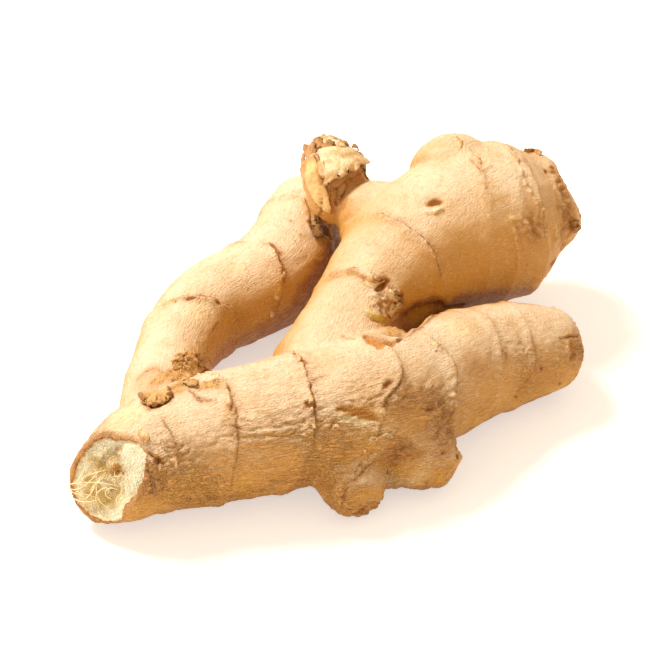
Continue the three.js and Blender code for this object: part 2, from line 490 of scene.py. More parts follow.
def lay_ring(line, ring, seed):
    angles = np.arange(ROUND_STEPS) * FULL_TURN / ROUND_STEPS
    known = sorted((math.radians(a) % FULL_TURN, s) for a, s in ring["edge"])
    smooth = np.interp(angles, [a for a, _ in known], [s for _, s in known], period=FULL_TURN)
    spread = np.exp(-((np.minimum(angles, FULL_TURN - angles) / CURVE_EASE) ** 2))
    smooth = np.real(np.fft.ifft(np.fft.fft(smooth) * np.fft.fft(spread / spread.sum())))
    radius = float(np.interp(smooth.mean(), line.s, line.radius))
    circle = np.stack([np.cos(angles), np.sin(angles), 0 * angles], -1) * radius
    tear = within(angles, *ring["torn"])
    raggedness = CALM + (1 - CALM) * tear
    ring["ragged"] = smooth + sum(
        amount * raggedness * rough(circle, size, seed + k) for k, (size, amount) in enumerate(RAGGED))
    broken = smoothstep(-0.35, 0.2, rough(circle, 3.2, seed + 7) + 0.25 * tear)
    ring["strength"] = broken * (WEAK + (1 - WEAK) * tear)
    ring["angles"] = angles


def of_ring(ring, what, angle):
    return np.interp(angle % FULL_TURN, ring["angles"], ring[what], period=FULL_TURN)


for k, (name, rings) in enumerate(RINGS.items()):
    for j, ring in enumerate(rings):
        lay_ring(LINES[name], ring, seed=10 * k + j + 1)
    places_along = [round(float(ring["ragged"].mean())) for ring in rings]
    print(f"{name}: rings at {places_along} mm")

# %% [markdown]
# ## Carving the skin
#
# All relief is added by moving each point along its normal, by a height in mm. The rings come first: the skin
# climbs slowly to each edge, drops off it into a narrow groove, and evens out again.

# %% Ring relief
PAST_EDGE = [-4.0, -1.6, -0.25, 0.12, 0.7, 2.4]
HEIGHT_AT_EDGE = [0.0, 0.3, 1.0, -0.5, -0.15, 0.0]
LEAST_LIFT = 0.35


def ring_relief(place):
    height = np.zeros(len(place.mm))
    for name, rings in RINGS.items():
        for ring in rings:
            past = place.s[name] - of_ring(ring, "ragged", place.angle[name])
            strength = of_ring(ring, "strength", place.angle[name])
            lift = ring["lift"] * (LEAST_LIFT + (1 - LEAST_LIFT) * strength)
            height += place.share[name] * lift * np.interp(past, PAST_EDGE, HEIGHT_AT_EDGE, 0, 0)
    return height

# %% [markdown]
# The skin between the rings is never smooth. It swells and dips softly, and fine wrinkles run along the
# finger. Noise that is stretched along the growth line makes them: its coordinates are those of the finger
# pulled straight. Each swell is a size and a height in mm, and each set of wrinkles is a length, a width and
# a height.

# %% Swells and wrinkles
SWELLS = [(14.0, 0.5), (6.0, 0.28), (2.6, 0.1)]
PILLOWS = [(3.9, 1.7, 0.36), (2.4, 1.0, 0.24)]
CREASE_SHARPNESS = 3.2


def along_finger(place, length, width, seed):
    """Noise in streaks of that length along the finger and that width round it."""
    value = 0
    for k, name in enumerate(LINES):
        stretched = place.straight[name] / [length, width, width]
        value = value + place.share[name] * rough(stretched, 1.0, seed + 50 * k)
    return value


def wrinkledness(piece, place):
    """How wrinkled the skin is, from 0 to 1: most on the sides of the stem, least where it faces up."""
    amount = 0.95 * place.share["stem"] + 0.3 * place.share["back finger"] + 0.12 * place.share["crown"]
    amount *= 1 - 0.45 * smoothstep(75, 95, place.s["stem"]) * place.share["stem"]
    amount *= 1 - 0.75 * smoothstep(0.55, 0.95, normals_of(piece)[:, 2])
    return amount * (0.55 + 0.6 * smoothstep(-0.3, 0.3, rough(place.mm, 11.0, 8)))


def skin_relief(piece, place):
    height = sum(amount * rough(place.mm, size, 3 + k) for k, (size, amount) in enumerate(SWELLS))
    wrinkled = wrinkledness(piece, place)
    for k, (length, width, amount) in enumerate(PILLOWS):
        pillow = np.minimum(1, CREASE_SHARPNESS * np.abs(along_finger(place, length, width, 11 + k)))
        height = height + amount * wrinkled * pillow
    return height

# %% [markdown]
# ## Marks
#
# Every root has marks of its own: tears at the rings, holes left by lost rootlets, scabs, corky patches, and
# places where the skin peeled off the pale flesh. Each is drawn as a stroke: its kind, its width in mm and a
# few points on the skin. The stroke is laid onto the surface, and each skin point near it stores how far it
# is from its edge. Most strokes are easiest to place as the camera sees them, so the point of view is settled
# first, and a spot of its frame is turned into a place on the root by casting a ray.

# %% The point of view
CAMERA_TARGET = Vector((-4, -4, 20)) * MM
CAMERA_DISTANCE, CAMERA_RISE = 478 * MM, math.radians(38)
CAMERA_PLACE = CAMERA_TARGET + CAMERA_DISTANCE * Vector((0, -math.cos(CAMERA_RISE), math.sin(CAMERA_RISE)))
LENS, SENSOR, FRAME_SIDE = 100, 36, 650
LOOK_FROM, LOOK_TO, LOOK_STEP = 360, 600, 3
BLANK_TREE = tree_of(skin)


def seen(*spots):
    """Places on the blank, in mm, that lie under spots (x, y) of the camera's frame.

    Spots are counted from the frame's top left. One just outside the root gives the place closest to it."""
    right = Vector((1, 0, 0))
    upward = Vector((0, math.sin(CAMERA_RISE), math.cos(CAMERA_RISE)))
    forward = Vector((0, math.cos(CAMERA_RISE), -math.sin(CAMERA_RISE)))
    places = []
    for x, y in spots:
        across = (x / FRAME_SIDE - 0.5) * SENSOR / LENS
        down = (y / FRAME_SIDE - 0.5) * SENSOR / LENS
        look = (forward + right * across - upward * down).normalized()
        hit = BLANK_TREE.ray_cast(CAMERA_PLACE, look)[0]
        if hit is None:
            distances = range(LOOK_FROM, LOOK_TO, LOOK_STEP)
            passed = [CAMERA_PLACE + look * distance * MM for distance in distances]
            hit = min((BLANK_TREE.find_nearest(spot) for spot in passed), key=lambda found: found[3])[0]
        places.append(tuple(value / MM for value in hit))
    return places


print("the spot in the middle of the frame is at", [round(v, 1) for v in seen((325, 325))[0]], "mm")

# %% [markdown]
# Each kind of mark has its own relief and colour. Some are dark holes and cracks, dry scabs, or skin peeled
# off the flesh. Others are grooves, crevices painted dark as their own shade, crumbly ridges, crusts, corky
# patches, brown stains that in places also stand in for soft shade, painted highlights, and the bud's yellow
# skin. Swells, hollows, cuts, bulges and dents shape the skin without colouring it, and ochre and green belong
# to the flesh. A row says the kind, the width in mm, and the spots.

# %% Kinds of marks
KINDS = ("dark", "dry", "peel", "dent", "ochre", "green", "groove", "ridge", "crust", "cork", "stain",
         "budskin", "swell", "hollow", "cut", "bulge", "crevice", "bleach")
(DARK, DRY, PEEL, DENT, OCHRE, GREEN, GROOVE, RIDGE, CRUST, CORK, STAIN_AND_SHADE,
 BUD_SKIN, SWELL, HOLLOW, CUT, BULGE, CREVICE, PAINTED_HIGHLIGHT) = KINDS


def marks_on_break(rows):
    """Marks from rows whose spots are told by how far right and up they lie on the broken end, in mm."""
    return [(kind, width, [on_break(*spot) for spot in spots]) for kind, width, *spots in rows]


def marks_in_mm(rows):
    return [(kind, width, spots) for kind, width, *spots in rows]


def marks_in_frame(rows):
    return [(kind, width, seen(*spots)) for kind, width, *spots in rows]


print(len(KINDS), "kinds of marks")

# %% [markdown]
# The flesh of the broken end has a long ochre crack with a pit in it and another beside it, a green core, and
# a few small specks.

# %% Marks on the broken end
BREAK_MARKS = marks_on_break([
    (OCHRE, 1.1, (3.7, 14.5), (2.4, 11.7), (0, 8.0), (-1.7, 4.0), (-2.5, 1.4)),
    (OCHRE, 2.0, (1.7, 10.6), (0.0, 7.9)),
    (OCHRE, 2.2, (4.4, 6.6), (3.6, 4.4)),
    (OCHRE, 0.7, (3.9, 0.2), (2.4, -1.4)),
    (OCHRE, 1.2, (9.0, 15.6), (11.2, 14.8)),
    (GREEN, 5.5, (-2.6, 3.4), (-3.8, -1.0), (-1.0, -3.6), (3.2, -2.6), (5.4, 1.8)),
    (OCHRE, 0.5, (-5.2, -1.6), (-4.6, -0.8)),
    (OCHRE, 0.5, (1.0, -5.6), (1.6, -4.6)),
    (DARK, 0.6, (1.9, -7.4), (2.6, -7.0)),
    (GREEN, 2.4, (-1.5, 4.6), (0.6, 1.0)),
])
print(len(BREAK_MARKS), "marks on the broken end")

# %% [markdown]
# Small dark holes and cracks lie along the top and front of the stem, and a few on the back finger. Rootlets
# grew out of the holes, and the cracks opened where the skin dried.

# %% Holes and cracks
HOLE_MARKS = marks_in_mm([
    (DARK, 1.7, (-44.4, -60.1, 23.4), (-42.8, -60.7, 22.3)),
    (DARK, 0.8, (-46.6, -59.2, 24.6), (-44.4, -60.3, 23.1)),
    (DARK, 0.6, (-40.6, -57.3, 26.1), (-39.5, -57.7, 25.2)),
    (DARK, 0.35, (-36.6, -44.3, 30.8), (-34.8, -46.9, 30.8), (-30.6, -47.8, 30.9)),
    (DARK, 0.6, (-27.9, -43.3, 32.2), (-26.5, -46.5, 31.7)),
    (DARK, 0.8, (-26.5, -47.9, 31.3), (-26.4, -50.4, 30.9), (-27.1, -51.3, 30.1)),
    (DARK, 0.5, (-26.3, -54.0, 28.3), (-23.9, -54.3, 27.3)),
    (DARK, 0.6, (-28.4, -59.0, 10.7), (-27.9, -59.2, 11.2)),
    (DARK, 1.1, (-10.2, -35.9, 34.0), (-8.4, -37.8, 34.6)),
    (DARK, 1.3, (-8.6, -48.8, 30.8), (-6.4, -49.2, 29.9)),
    (DARK, 0.3, (-8.1, -43.8, 33.6), (-4.0, -41.7, 33.7)),
    (DARK, 1.1, (10.1, -43.9, 31.4), (12.3, -42.0, 32.4)),
    (DARK, 0.25, (5.2, -47.7, 29.5), (10.1, -44.9, 30.7), (12.8, -45.7, 29.4)),
    (DARK, 0.4, (19.3, -44.2, 25.5), (21.1, -43.9, 24.0), (22.9, -42.5, 24.1), (21.8, -42.3, 25.6)),
    (PEEL, 0.6, (20.7, -45.6, 20.0), (21.4, -44.9, 20.6)),
    (DARK, 0.8, (24.7, -48.4, 14.8), (24.9, -48.5, 14.3)),
    (DARK, 0.3, (19.7, -50.6, 5.8), (21.5, -51.3, 9.5)),
    (DARK, 0.6, (26.0, -51.0, 9.6), (26.2, -50.9, 9.8)),
    (DARK, 0.4, (41.4, -21.8, 25.9), (42.5, -21.8, 23.9), (41.9, -23.3, 23.1)),
    (DRY, 1.2, (45.4, -23.7, 13.4), (47.5, -22.1, 14.1)),
    (DARK, 0.6, (44.9, -23.9, 12.2), (45.2, -23.6, 12.0)),
    (DARK, 0.4, (0.3, -22.1, 30.6), (3.5, -27.2, 33.3)),
    (DRY, 2.6, (6.2, -27.4, 34.2), (9.1, -30.6, 35.1), (12.6, -30.8, 34.7)),
    (DARK, 0.25, (35.0, 29.5, 50.5), (37.6, 23.9, 50.0), (40.8, 26.9, 49.9)),
    (DARK, 1.0, (-41.5, 1.9, 23.8), (-38.3, 2.3, 23.9)),
    (DARK, 0.9, (-33.3, 2.9, 22.7), (-32.0, 2.5, 21.7)),
    (DARK, 1.3, (-19.1, 23.2, 27.0), (-17.4, 21.2, 26.4), (-16.0, 19.6, 25.5)),
    (DARK, 0.8, (-15.4, 15.9, 24.1), (-16.0, 14.2, 22.7)),
    (DARK, 0.6, (-13.7, 32.9, 28.2), (-13.4, 32.5, 28.2)),
    (DARK, 0.8, (-10.6, 27.7, 26.8), (-10.1, 27.5, 26.6)),
    (DARK, 0.35, (-34.0, -4.6, 18.1), (-32.5, -1.5, 18.7)),
])
print(len(HOLE_MARKS), "holes and cracks")

# %% [markdown]
# The front of the stem is the most weathered. It has a slit, a ragged ring down to the lobe, and corky
# patches on the lobe and the spur. Pale strokes here and on the other fingers are painted highlights, and some
# brown stains here are painted shade.

# %% Marks on the lobe and the spur
LOBE_MARKS = marks_in_frame([
    (GROOVE, 2.1, (338, 410), (350, 411.5), (364, 415), (377, 421)),
    # A painted highlight along the pale lip under the slit.
    (PAINTED_HIGHLIGHT, 2.4, (336, 419.5), (352, 421), (367, 425), (390, 428)),
    (RIDGE, 0.8, (341, 422), (354, 423), (370, 427)),
    (PEEL, 1.7, (338, 418), (350, 419.5), (362, 422), (374, 425)),
    (RIDGE, 2.2, (394, 431), (387, 440), (380, 447), (373, 457), (362, 467), (353, 477), (341, 484),
     (335, 494)),
    (DARK, 0.5, (379, 451), (374, 461), (364, 470), (355, 480), (343, 487)),
    (DRY, 5.0, (383, 459), (392, 453), (402, 447)),
    (PEEL, 0.8, (366, 439), (376, 442), (384, 436), (393, 438)),
    (CORK, 6.5, (384, 455), (396, 452), (410, 447)),
    # The pale strokes of the highlight kind in this list are painted highlights.
    (PAINTED_HIGHLIGHT, 7.0, (196, 318), (204, 306)),
    (PAINTED_HIGHLIGHT, 3.0, (232, 268), (243, 262)),
    (PAINTED_HIGHLIGHT, 8.0, (118, 422), (132, 414)),
    (PAINTED_HIGHLIGHT, 6.0, (452, 330), (470, 325)),
    (STAIN_AND_SHADE, 8.0, (384, 452), (400, 450), (414, 444)),
    (CORK, 5.0, (424, 409), (436, 405), (446, 413), (440, 424)),
    (DARK, 0.9, (425, 412), (430, 409), (433, 405)),
    (CORK, 5.0, (430, 436), (447, 436), (452, 426)),
    (STAIN_AND_SHADE, 7.0, (428, 414), (441, 420), (448, 440), (430, 448)),
    (DARK, 0.4, (363, 406), (372, 398), (382, 396), (387, 405)),
    (STAIN_AND_SHADE, 9.0, (470, 362), (482, 368)),
    (BULGE, 3.5, (387, 473), (388, 480)),
    (BULGE, 1.0, (392, 484), (396, 485)),
    (STAIN_AND_SHADE, 8.0, (412, 434), (436, 442), (448, 452)),
    (STAIN_AND_SHADE, 6.0, (402, 412), (420, 396), (440, 392)),
    (PAINTED_HIGHLIGHT, 3.0, (374, 478), (392, 479), (408, 477), (424, 473)),
    (PAINTED_HIGHLIGHT, 2.0, (404, 432), (420, 442), (430, 456)),
    (DRY, 2.0, (402, 452), (412, 456), (424, 452)),
    (SWELL, 9.0, (392, 474), (408, 474)),
    (CUT, 5.5, (454, 480), (464, 469)),
    (HOLLOW, 2.0, (461, 445), (458, 449)),
    (SWELL, 3.0, (460, 456), (461, 460)),
    (DARK, 0.5, (421, 487), (427, 481), (430, 476)),
    (DARK, 1.0, (456, 455.5), (458, 457)),
    (RIDGE, 1.8, (344, 502), (357, 505), (371, 498), (384, 500)),
    (GROOVE, 1.4, (349, 507), (361, 503), (373, 499.5), (383, 503)),
    (GROOVE, 0.8, (352, 511), (364, 508), (377, 508)),
    (CORK, 5.0, (350, 507), (364, 509), (378, 505)),
    (DARK, 0.6, (350, 506), (358, 509), (366, 507)),
    (STAIN_AND_SHADE, 7.0, (350, 507), (364, 510), (378, 505)),
    (STAIN_AND_SHADE, 8.0, (262, 484), (290, 478), (318, 480), (332, 490)),
    (STAIN_AND_SHADE, 4.0, (170, 500), (200, 496), (232, 494)),
    (CORK, 3.0, (168, 502), (200, 499), (228, 496), (262, 488)),
])
print(len(LOBE_MARKS), "marks on the front")

# %% [markdown]
# At the crown's neck the skin folds into deep crevices round a broken leaf base, with a yellow sliver of
# bud skin under it. The fork between the neck and the stem is a deep fold too. The crevices are sunk and
# painted dark as their shade, and soft brown stains beside them are painted shade as well.

# %% Marks at the neck and the fork
NECK_MARKS = marks_in_frame([
    (CREVICE, 2.2, (377.5, 290), (380.5, 286), (387, 281)),
    (CREVICE, 2.2, (401, 297.5), (397, 302), (392.5, 309)),
    # A painted highlight on the neck.
    (PAINTED_HIGHLIGHT, 3.0, (366, 262), (372, 268)),
    (DARK, 0.35, (332, 280.5), (337, 275), (344, 272), (351, 270), (357, 271.5)),
    (RIDGE, 1.6, (389, 279), (390.5, 284), (394, 289.5), (402, 295.5)),
    (RIDGE, 1.5, (402.5, 297.5), (397.5, 307), (391.5, 315)),
    (RIDGE, 1.2, (351, 271), (364, 275), (376, 281), (384, 281)),
    (CORK, 5.5, (378, 299), (381, 308), (378, 314)),
    (SWELL, 7.0, (379, 306), (378, 311)),
    (GROOVE, 0.9, (366.5, 315), (371, 319.5), (377, 322.5), (384, 321.5)),
    (BUD_SKIN, 1.5, (368, 312.5), (372, 316.2), (377, 318.7), (383.5, 318.2)),
    (CRUST, 3.5, (398, 309), (400, 318), (394, 328), (386, 335)),
    (STAIN_AND_SHADE, 9.0, (398, 302), (402, 318), (395, 332)),
    (GROOVE, 1.7, (364, 338), (371, 343), (381, 347), (391, 345), (399, 340)),
    (STAIN_AND_SHADE, 4.0, (364, 335), (377, 340), (392, 339)),
    (DARK, 0.6, (363.5, 337), (366, 339)),
    (CREVICE, 2.0, (399, 341), (405, 335), (413, 328), (422, 321), (433, 315), (447, 308.5), (463, 304)),
    (CUT, 5.5, (396, 332), (404, 326), (413, 320), (424, 313), (436, 307)),
    (STAIN_AND_SHADE, 6.0, (392, 334), (402, 326), (413, 319)),
])
print(len(NECK_MARKS), "marks at the neck")

# %% [markdown]
# A notch crosses the top of the crown, and its end is cut off slantwise, dry and corky. The bud's foot is
# torn and crusty, with dark holes under it that are painted dark as the bud's shadow. The hollow in the stem's
# right end and the crevice in the corner, painted dark as the shadow under the corner scrap, are here too.

# %% Marks on the crown and at the bud's foot
CROWN_MARKS = marks_in_frame([
    (DENT, 1.4, (427, 205), (434, 202), (442, 204)),
    (GROOVE, 1.2, (427, 205), (434, 202.5), (442, 204)),
    (CREVICE, 0.7, (430, 204), (435, 202), (440, 203)),
    (STAIN_AND_SHADE, 3.0, (424, 203), (433, 199), (440, 201)),
    (RIDGE, 1.4, (426, 212), (433, 213), (443, 210)),
    (CUT, 10.0, (574, 168), (582, 185), (584, 204)),
    (CUT, 9.0, (584, 245), (576, 258), (564, 268)),
    (DENT, 3.0, (560, 232), (572, 238)),
    (HOLLOW, 3.0, (580, 378), (572, 386)),
    (DRY, 2.0, (556, 175), (562, 188)),
    (DRY, 2.5, (566, 206), (571, 220)),
    (CORK, 5.0, (556, 178), (563, 198), (566, 222), (560, 243)),
    (RIDGE, 1.3, (553, 176), (556, 190), (562, 204), (566, 214)),
    (RIDGE, 1.0, (560, 176), (566, 190)),
    (GROOVE, 0.8, (543, 204), (544, 214), (542, 224)),
    # Painted shadow: a dark crevice under the corner scrap.
    (CREVICE, 1.6, (144, 402), (153, 405.5), (163, 403), (172, 395)),
    # Painted shadow: the dark rows below, under the bud and beside its yellow scale, stand in for the bud's
    # shadow.
    (DARK, 3.0, (312, 221), (319, 219), (326, 222)),
    (DARK, 2.6, (322, 226), (327, 232), (331, 238)),
    (RIDGE, 1.2, (307, 226), (314, 227), (323, 226)),
    (DARK, 1.2, (335, 197), (337, 206)),
])
BUD_MARKS = marks_in_mm([
    (CRUST, 7.0, (-7.5, 50.5, 43.5), (-2.5, 51.5, 44.0)),
    (CRUST, 8.0, (-7.0, 53.5, 40.5), (0.0, 53.0, 40.0)),
    (DRY, 8.0, (-7.0, 52.0, 37.0), (1.0, 51.0, 37.0)),
    (DRY, 8.0, (3.0, 48.0, 42.0), (4.0, 48.0, 36.0)),
]) + marks_in_frame([
    (DRY, 6.0, (334, 188), (346, 181), (360, 177)),
    (DRY, 5.0, (336, 197), (339, 204)),
    (HOLLOW, 4.4, (342, 138), (353, 142), (364, 149)),
])
print(len(CROWN_MARKS) + len(BUD_MARKS), "marks on the crown and the bud's foot")

# %% [markdown]
# In the corner where the back finger leaves the stem the old leaf rotted to a golden crust, with holes and
# low ridges round it.

# %% Marks in the corner
CORNER_MARKS = marks_in_frame([
    (CRUST, 6.0, (176, 364), (188, 360), (203, 364)),
    (CRUST, 7.0, (170, 377), (187, 372), (206, 372)),
    (CRUST, 6.0, (170, 387), (182, 385), (194, 382)),
    (CRUST, 3.0, (200, 388), (212, 384), (222, 386)),
    (CRUST, 3.0, (150, 384), (160, 380), (168, 374)),
    (STAIN_AND_SHADE, 9.0, (146, 382), (158, 378)),
    (RIDGE, 0.8, (206, 384), (220, 381), (236, 378)),
    (RIDGE, 1.0, (231, 391), (228, 402), (233, 411), (229, 418)),
    (DARK, 1.2, (179, 355), (183, 356), (187, 360)),
    (DARK, 1.6, (196, 357), (202, 358), (206, 361)),
    (DARK, 1.0, (176, 362), (180, 363)),
    (DARK, 1.1, (207, 364), (206, 371), (203, 376)),
    (RIDGE, 1.0, (190, 374), (200, 377), (209, 374), (220, 375), (234, 375)),
    (RIDGE, 0.8, (178, 385), (190, 386), (205, 384), (214, 380)),
    (DARK, 0.5, (190, 391), (196, 397), (202, 401), (214, 401)),
    (DARK, 0.35, (137, 380), (147, 372), (156, 369), (163, 374)),
    (STAIN_AND_SHADE, 9.0, (175, 375), (190, 372), (205, 370)),
    (CRUST, 2.5, (170, 394), (178, 391), (186, 390)),
    (STAIN_AND_SHADE, 4.0, (150, 398), (170, 392), (200, 386), (225, 388)),
    (STAIN_AND_SHADE, 12.0, (215, 362), (232, 350), (250, 335)),
])
print(len(CORNER_MARKS), "marks in the corner")

# %% [markdown]
# The last rings of the crown stand up as crumbly ridges, and its end is corky, with low ridges, grooves and
# dark spots. The right end of the stem has a shallow cracked scar.

# %% Marks on the two right ends
END_MARKS = marks_in_frame([
    (RIDGE, 0.9, (509, 151), (518, 165), (524, 182), (534, 199), (543, 219), (548.5, 239), (549, 257)),
    (RIDGE, 0.8, (510, 216), (516, 234), (518.5, 254), (518, 268)),
    (STAIN_AND_SHADE, 3.5, (514, 218), (521, 234), (524, 252), (523, 266)),
    (DRY, 0.8, (514, 224), (520, 236), (523, 252)),
    (BUD_SKIN, 1.0, (512, 217), (517, 220)),
    (CORK, 6.0, (524, 222), (534, 228), (543, 234)),
    (STAIN_AND_SHADE, 6.0, (553, 170), (562, 200), (568, 225), (560, 245)),
    (RIDGE, 1.3, (525, 223), (530, 228)),
    (RIDGE, 1.2, (536, 226), (540, 231), (543, 238)),
    (RIDGE, 1.0, (527, 235), (533, 238)),
    (GROOVE, 0.7, (531, 223), (534, 231), (539, 238)),
    (STAIN_AND_SHADE, 7.0, (530, 200), (537, 225), (536, 250)),
    (CORK, 4.0, (549, 168), (554, 174)),
    (CORK, 3.0, (556, 206), (564, 212)),
    (RIDGE, 1.0, (553, 214), (556, 230), (555, 246)),
    (DARK, 1.3, (551, 167), (553, 170)),
    (DARK, 1.1, (545, 171), (547, 173)),
    (DARK, 1.0, (567, 211), (568, 215)),
    (RIDGE, 1.0, (566, 216), (567, 235), (562, 252)),
    (GROOVE, 0.9, (570, 216), (571, 232), (566, 247)),
    (DARK, 1.3, (563, 245), (561, 250)),
    (DARK, 2.4, (556, 261), (551, 265)),
    (STAIN_AND_SHADE, 9.0, (575, 345), (580, 352)),
    (CORK, 7.0, (577, 343), (580, 352), (573, 361)),
    (DARK, 0.7, (559, 339), (564, 338), (570, 337), (576, 336.5), (581, 333)),
    (GROOVE, 1.4, (571, 341), (574, 349), (574, 358)),
    (RIDGE, 1.0, (567, 343), (568, 351), (566, 361)),
    (RIDGE, 0.8, (556, 352), (558, 364), (556, 376)),
    (DARK, 0.9, (540.5, 367), (541, 369)),
    (DARK, 1.0, (558.5, 381), (560, 383)),
    (DARK, 0.9, (515, 396), (516, 397)),
    (STAIN_AND_SHADE, 8.0, (520, 385), (545, 375), (560, 380)),
])
print(len(END_MARKS), "marks on the right ends")

# %% [markdown]
# Beside the broken end the skin is stained and corky, and two more green patches and an ochre pit lie on the
# flesh. Then all marks are put into one list. Their order matters, because each stroke's ragged edge is
# drawn from its number in the list.

# %% All drawn marks
BREAK_SIDE_MARKS = marks_in_frame([
    (STAIN_AND_SHADE, 9.0, (140, 474), (150, 482), (154, 495)),
    (CORK, 3.0, (149, 474), (153, 482), (155, 492)),
    (GREEN, 4.2, (90, 460), (100, 468), (112, 476)),
    (GREEN, 3.0, (106, 455), (116, 462), (118, 480)),
    (OCHRE, 1.3, (117.5, 471), (121, 476)),
])
MARKS = (BREAK_MARKS + HOLE_MARKS + LOBE_MARKS + NECK_MARKS + CROWN_MARKS + BUD_MARKS + CORNER_MARKS
         + END_MARKS + BREAK_SIDE_MARKS)
print(len(MARKS), "drawn marks")

# %% [markdown]
# A stroke is pressed onto the skin step by step. It wanders a little, tapers to its ends and has a ragged
# width. For every skin point the distance to the nearest stroke of each kind is kept, less the stroke's half
# width, so that it is negative inside the mark.

# %% Lay the strokes
STROKE_STEP, STROKE_WANDER = 0.3, 0.25
MARK_REACH = 3.2


def lay_stroke(tree, corners, width, seed):
    """Points along a stroke, pressed onto the skin, each with the stroke's half width there, in mm."""
    corners = np.array(corners, float)
    lengths = np.linalg.norm(np.diff(corners, axis=0), axis=1)
    ends = np.concatenate([[0], np.cumsum(lengths)])
    part = np.linspace(0, 1, max(3, round(ends[-1] / STROKE_STEP)))
    along = part * ends[-1]
    line = np.stack([np.interp(along, ends, corners[:, k]) for k in range(3)], -1)
    wander = np.stack([rough(line, 2.0, seed + k) for k in range(3)], -1)
    line = line + STROKE_WANDER * min(2.0, width + 0.3) * wander
    line = np.array([np.array(tree.find_nearest(Vector(p * MM))[0]) / MM for p in line])
    taper = 0.45 + 0.55 * np.sin(np.pi * part)
    half = 0.5 * width * taper * (1 + 0.7 * rough(line, 0.9, seed + 5))
    return line, half


def mark_gaps(piece, marks, seed=40):
    """For each kind of mark, how far every point lies outside its edge, in mm; negative inside."""
    points = points_of(piece) / MM
    tree = tree_of(piece)
    gaps = {kind: np.full(len(points), MARK_REACH) for kind in KINDS}
    for k, (kind, width, corners) in enumerate(marks):
        line, half = lay_stroke(tree, corners, width, seed + 9 * k)
        reach = MARK_REACH + half.max()
        low, high = line.min(0) - reach, line.max(0) + reach
        near = np.nonzero(((points > low) & (points < high)).all(1))[0]
        for block in blocks(near, 4000):
            apart = np.linalg.norm(points[block][:, None] - line[None], axis=2) - half
            gaps[kind][block] = np.minimum(gaps[kind][block], apart.min(1))
    return gaps

# %% [markdown]
# The sides that the camera doesn't face have marks of the same kinds at random places, and the blunt tip of
# the back finger has a corky scar. A scattered mark is a kind, its width and its length in mm.

# %% Scatter more marks
TOWARDS_CAMERA = np.array((0, -math.cos(CAMERA_RISE), math.sin(CAMERA_RISE)))
SCATTERED = [(DARK, 1.0, 0.6), (DARK, 0.5, 3.5), (DARK, 0.35, 7.0), (DRY, 2.0, 3.0), (CORK, 5.0, 6.0),
             (RIDGE, 1.1, 3.0), (CRUST, 2.4, 1.5), (STAIN_AND_SHADE, 7.0, 9.0), (GROOVE, 0.8, 4.0)]
SCATTER_TRIES, FACES_AWAY, OFF_THE_TABLE = 340, -0.02, 1.5
TIP_STEPS, TIP_ROUND = 9, 0.55


def scattered_marks(piece):
    """Rootlet scars, cracks and corky patches at random places that the camera doesn't face."""
    draw = random.Random(14)
    points, normals = points_of(piece) / MM, normals_of(piece)
    made = []
    for i in draw.sample(range(len(points)), SCATTER_TRIES):
        kind, width, length = draw.choice(SCATTERED)
        towards = np.cross(normals[i], [draw.uniform(-1, 1) for _ in range(3)])
        step = towards / np.linalg.norm(towards) * length * draw.uniform(0.5, 1.2)
        if normals[i] @ TOWARDS_CAMERA < FACES_AWAY and points[i, 2] > OFF_THE_TABLE:
            made.append((kind, width * draw.uniform(0.7, 1.3), [points[i], points[i] + step]))
    return made


def tip_marks(name):
    """The corky scar at the blunt tip of a finger."""
    line = LINES[name]
    centre, growth, side, up, radius = (value[0] for value in line.at(np.array([line.length])))
    tip = centre + growth * radius
    turns = np.linspace(0, FULL_TURN, TIP_STEPS)
    round_tip = [tip + TIP_ROUND * radius * (side * math.cos(a) + up * math.sin(a)) for a in turns]
    return [
        (STAIN_AND_SHADE, 9.0, [tip - side * 3, tip + side * 3]),
        (CORK, 3.5, [tip - up * 2, tip + side * 2, tip + up * 3]),
        (DARK, 1.3, [tip, tip + up * 1.2]),
        (RIDGE, 1.1, round_tip),
        (DARK, 0.4, round_tip[:6]),
    ]


all_marks = MARKS + scattered_marks(skin) + tip_marks("back finger")
gaps = mark_gaps(skin, all_marks)
print(len(all_marks), "marks,", int((gaps[DARK] < 0).sum()), "skin points inside dark ones")

# %% [markdown]
# Each kind of mark raises or lowers the skin by its own height. The change from none to all of it happens
# between two distances from the mark's edge, in mm. Holes and peeled places also have a low lip round them.

# %% Relief of the marks
MARK_SLOPES = {
    DARK: (-0.45, 0.12), DRY: (-0.5, 0.3), PEEL: (-0.2, 0.15), DENT: (-3.0, 1.5), HOLLOW: (-1.0, 1.6),
    GROOVE: (-0.7, 0.35), RIDGE: (-0.7, 0.5), CRUST: (-1.6, 0.3), CUT: (-4.0, 3.0), BULGE: (-3.5, 2.5),
    CREVICE: (-0.9, 0.4), CORK: (-2.0, 1.2), BUD_SKIN: (-0.6, 0.4), SWELL: (-3.5, 2.5),
}
LIPS = {DARK: (0.1, 0.4, 0.35), PEEL: (0.12, 0.25, 0.25)}


def mark_heights(points):
    """How high each kind of mark stands, in mm: one number, or one for every point where it is crumbly."""
    crumbs = smoothstep(-0.1, 0.25, rough(points, 1.1, 62))
    patches = smoothstep(-0.3, 0.4, rough(points, 2.4, 63))
    cells = smoothstep(-0.3, 0.3, rough(points, 1.3, 64))
    return {
        DARK: -0.38, DRY: 0.12 + 0.22 * rough(points, 0.8, 61), PEEL: -0.22, DENT: -0.75, HOLLOW: -2.4,
        GROOVE: -0.65, RIDGE: 0.35 + 0.45 * crumbs, CRUST: 0.15 + 0.85 * crumbs * patches, CUT: -3.6,
        BULGE: 3.0, CREVICE: -1.9, CORK: 0.6 * cells - 0.25, BUD_SKIN: 0.5, SWELL: 0.8,
    }


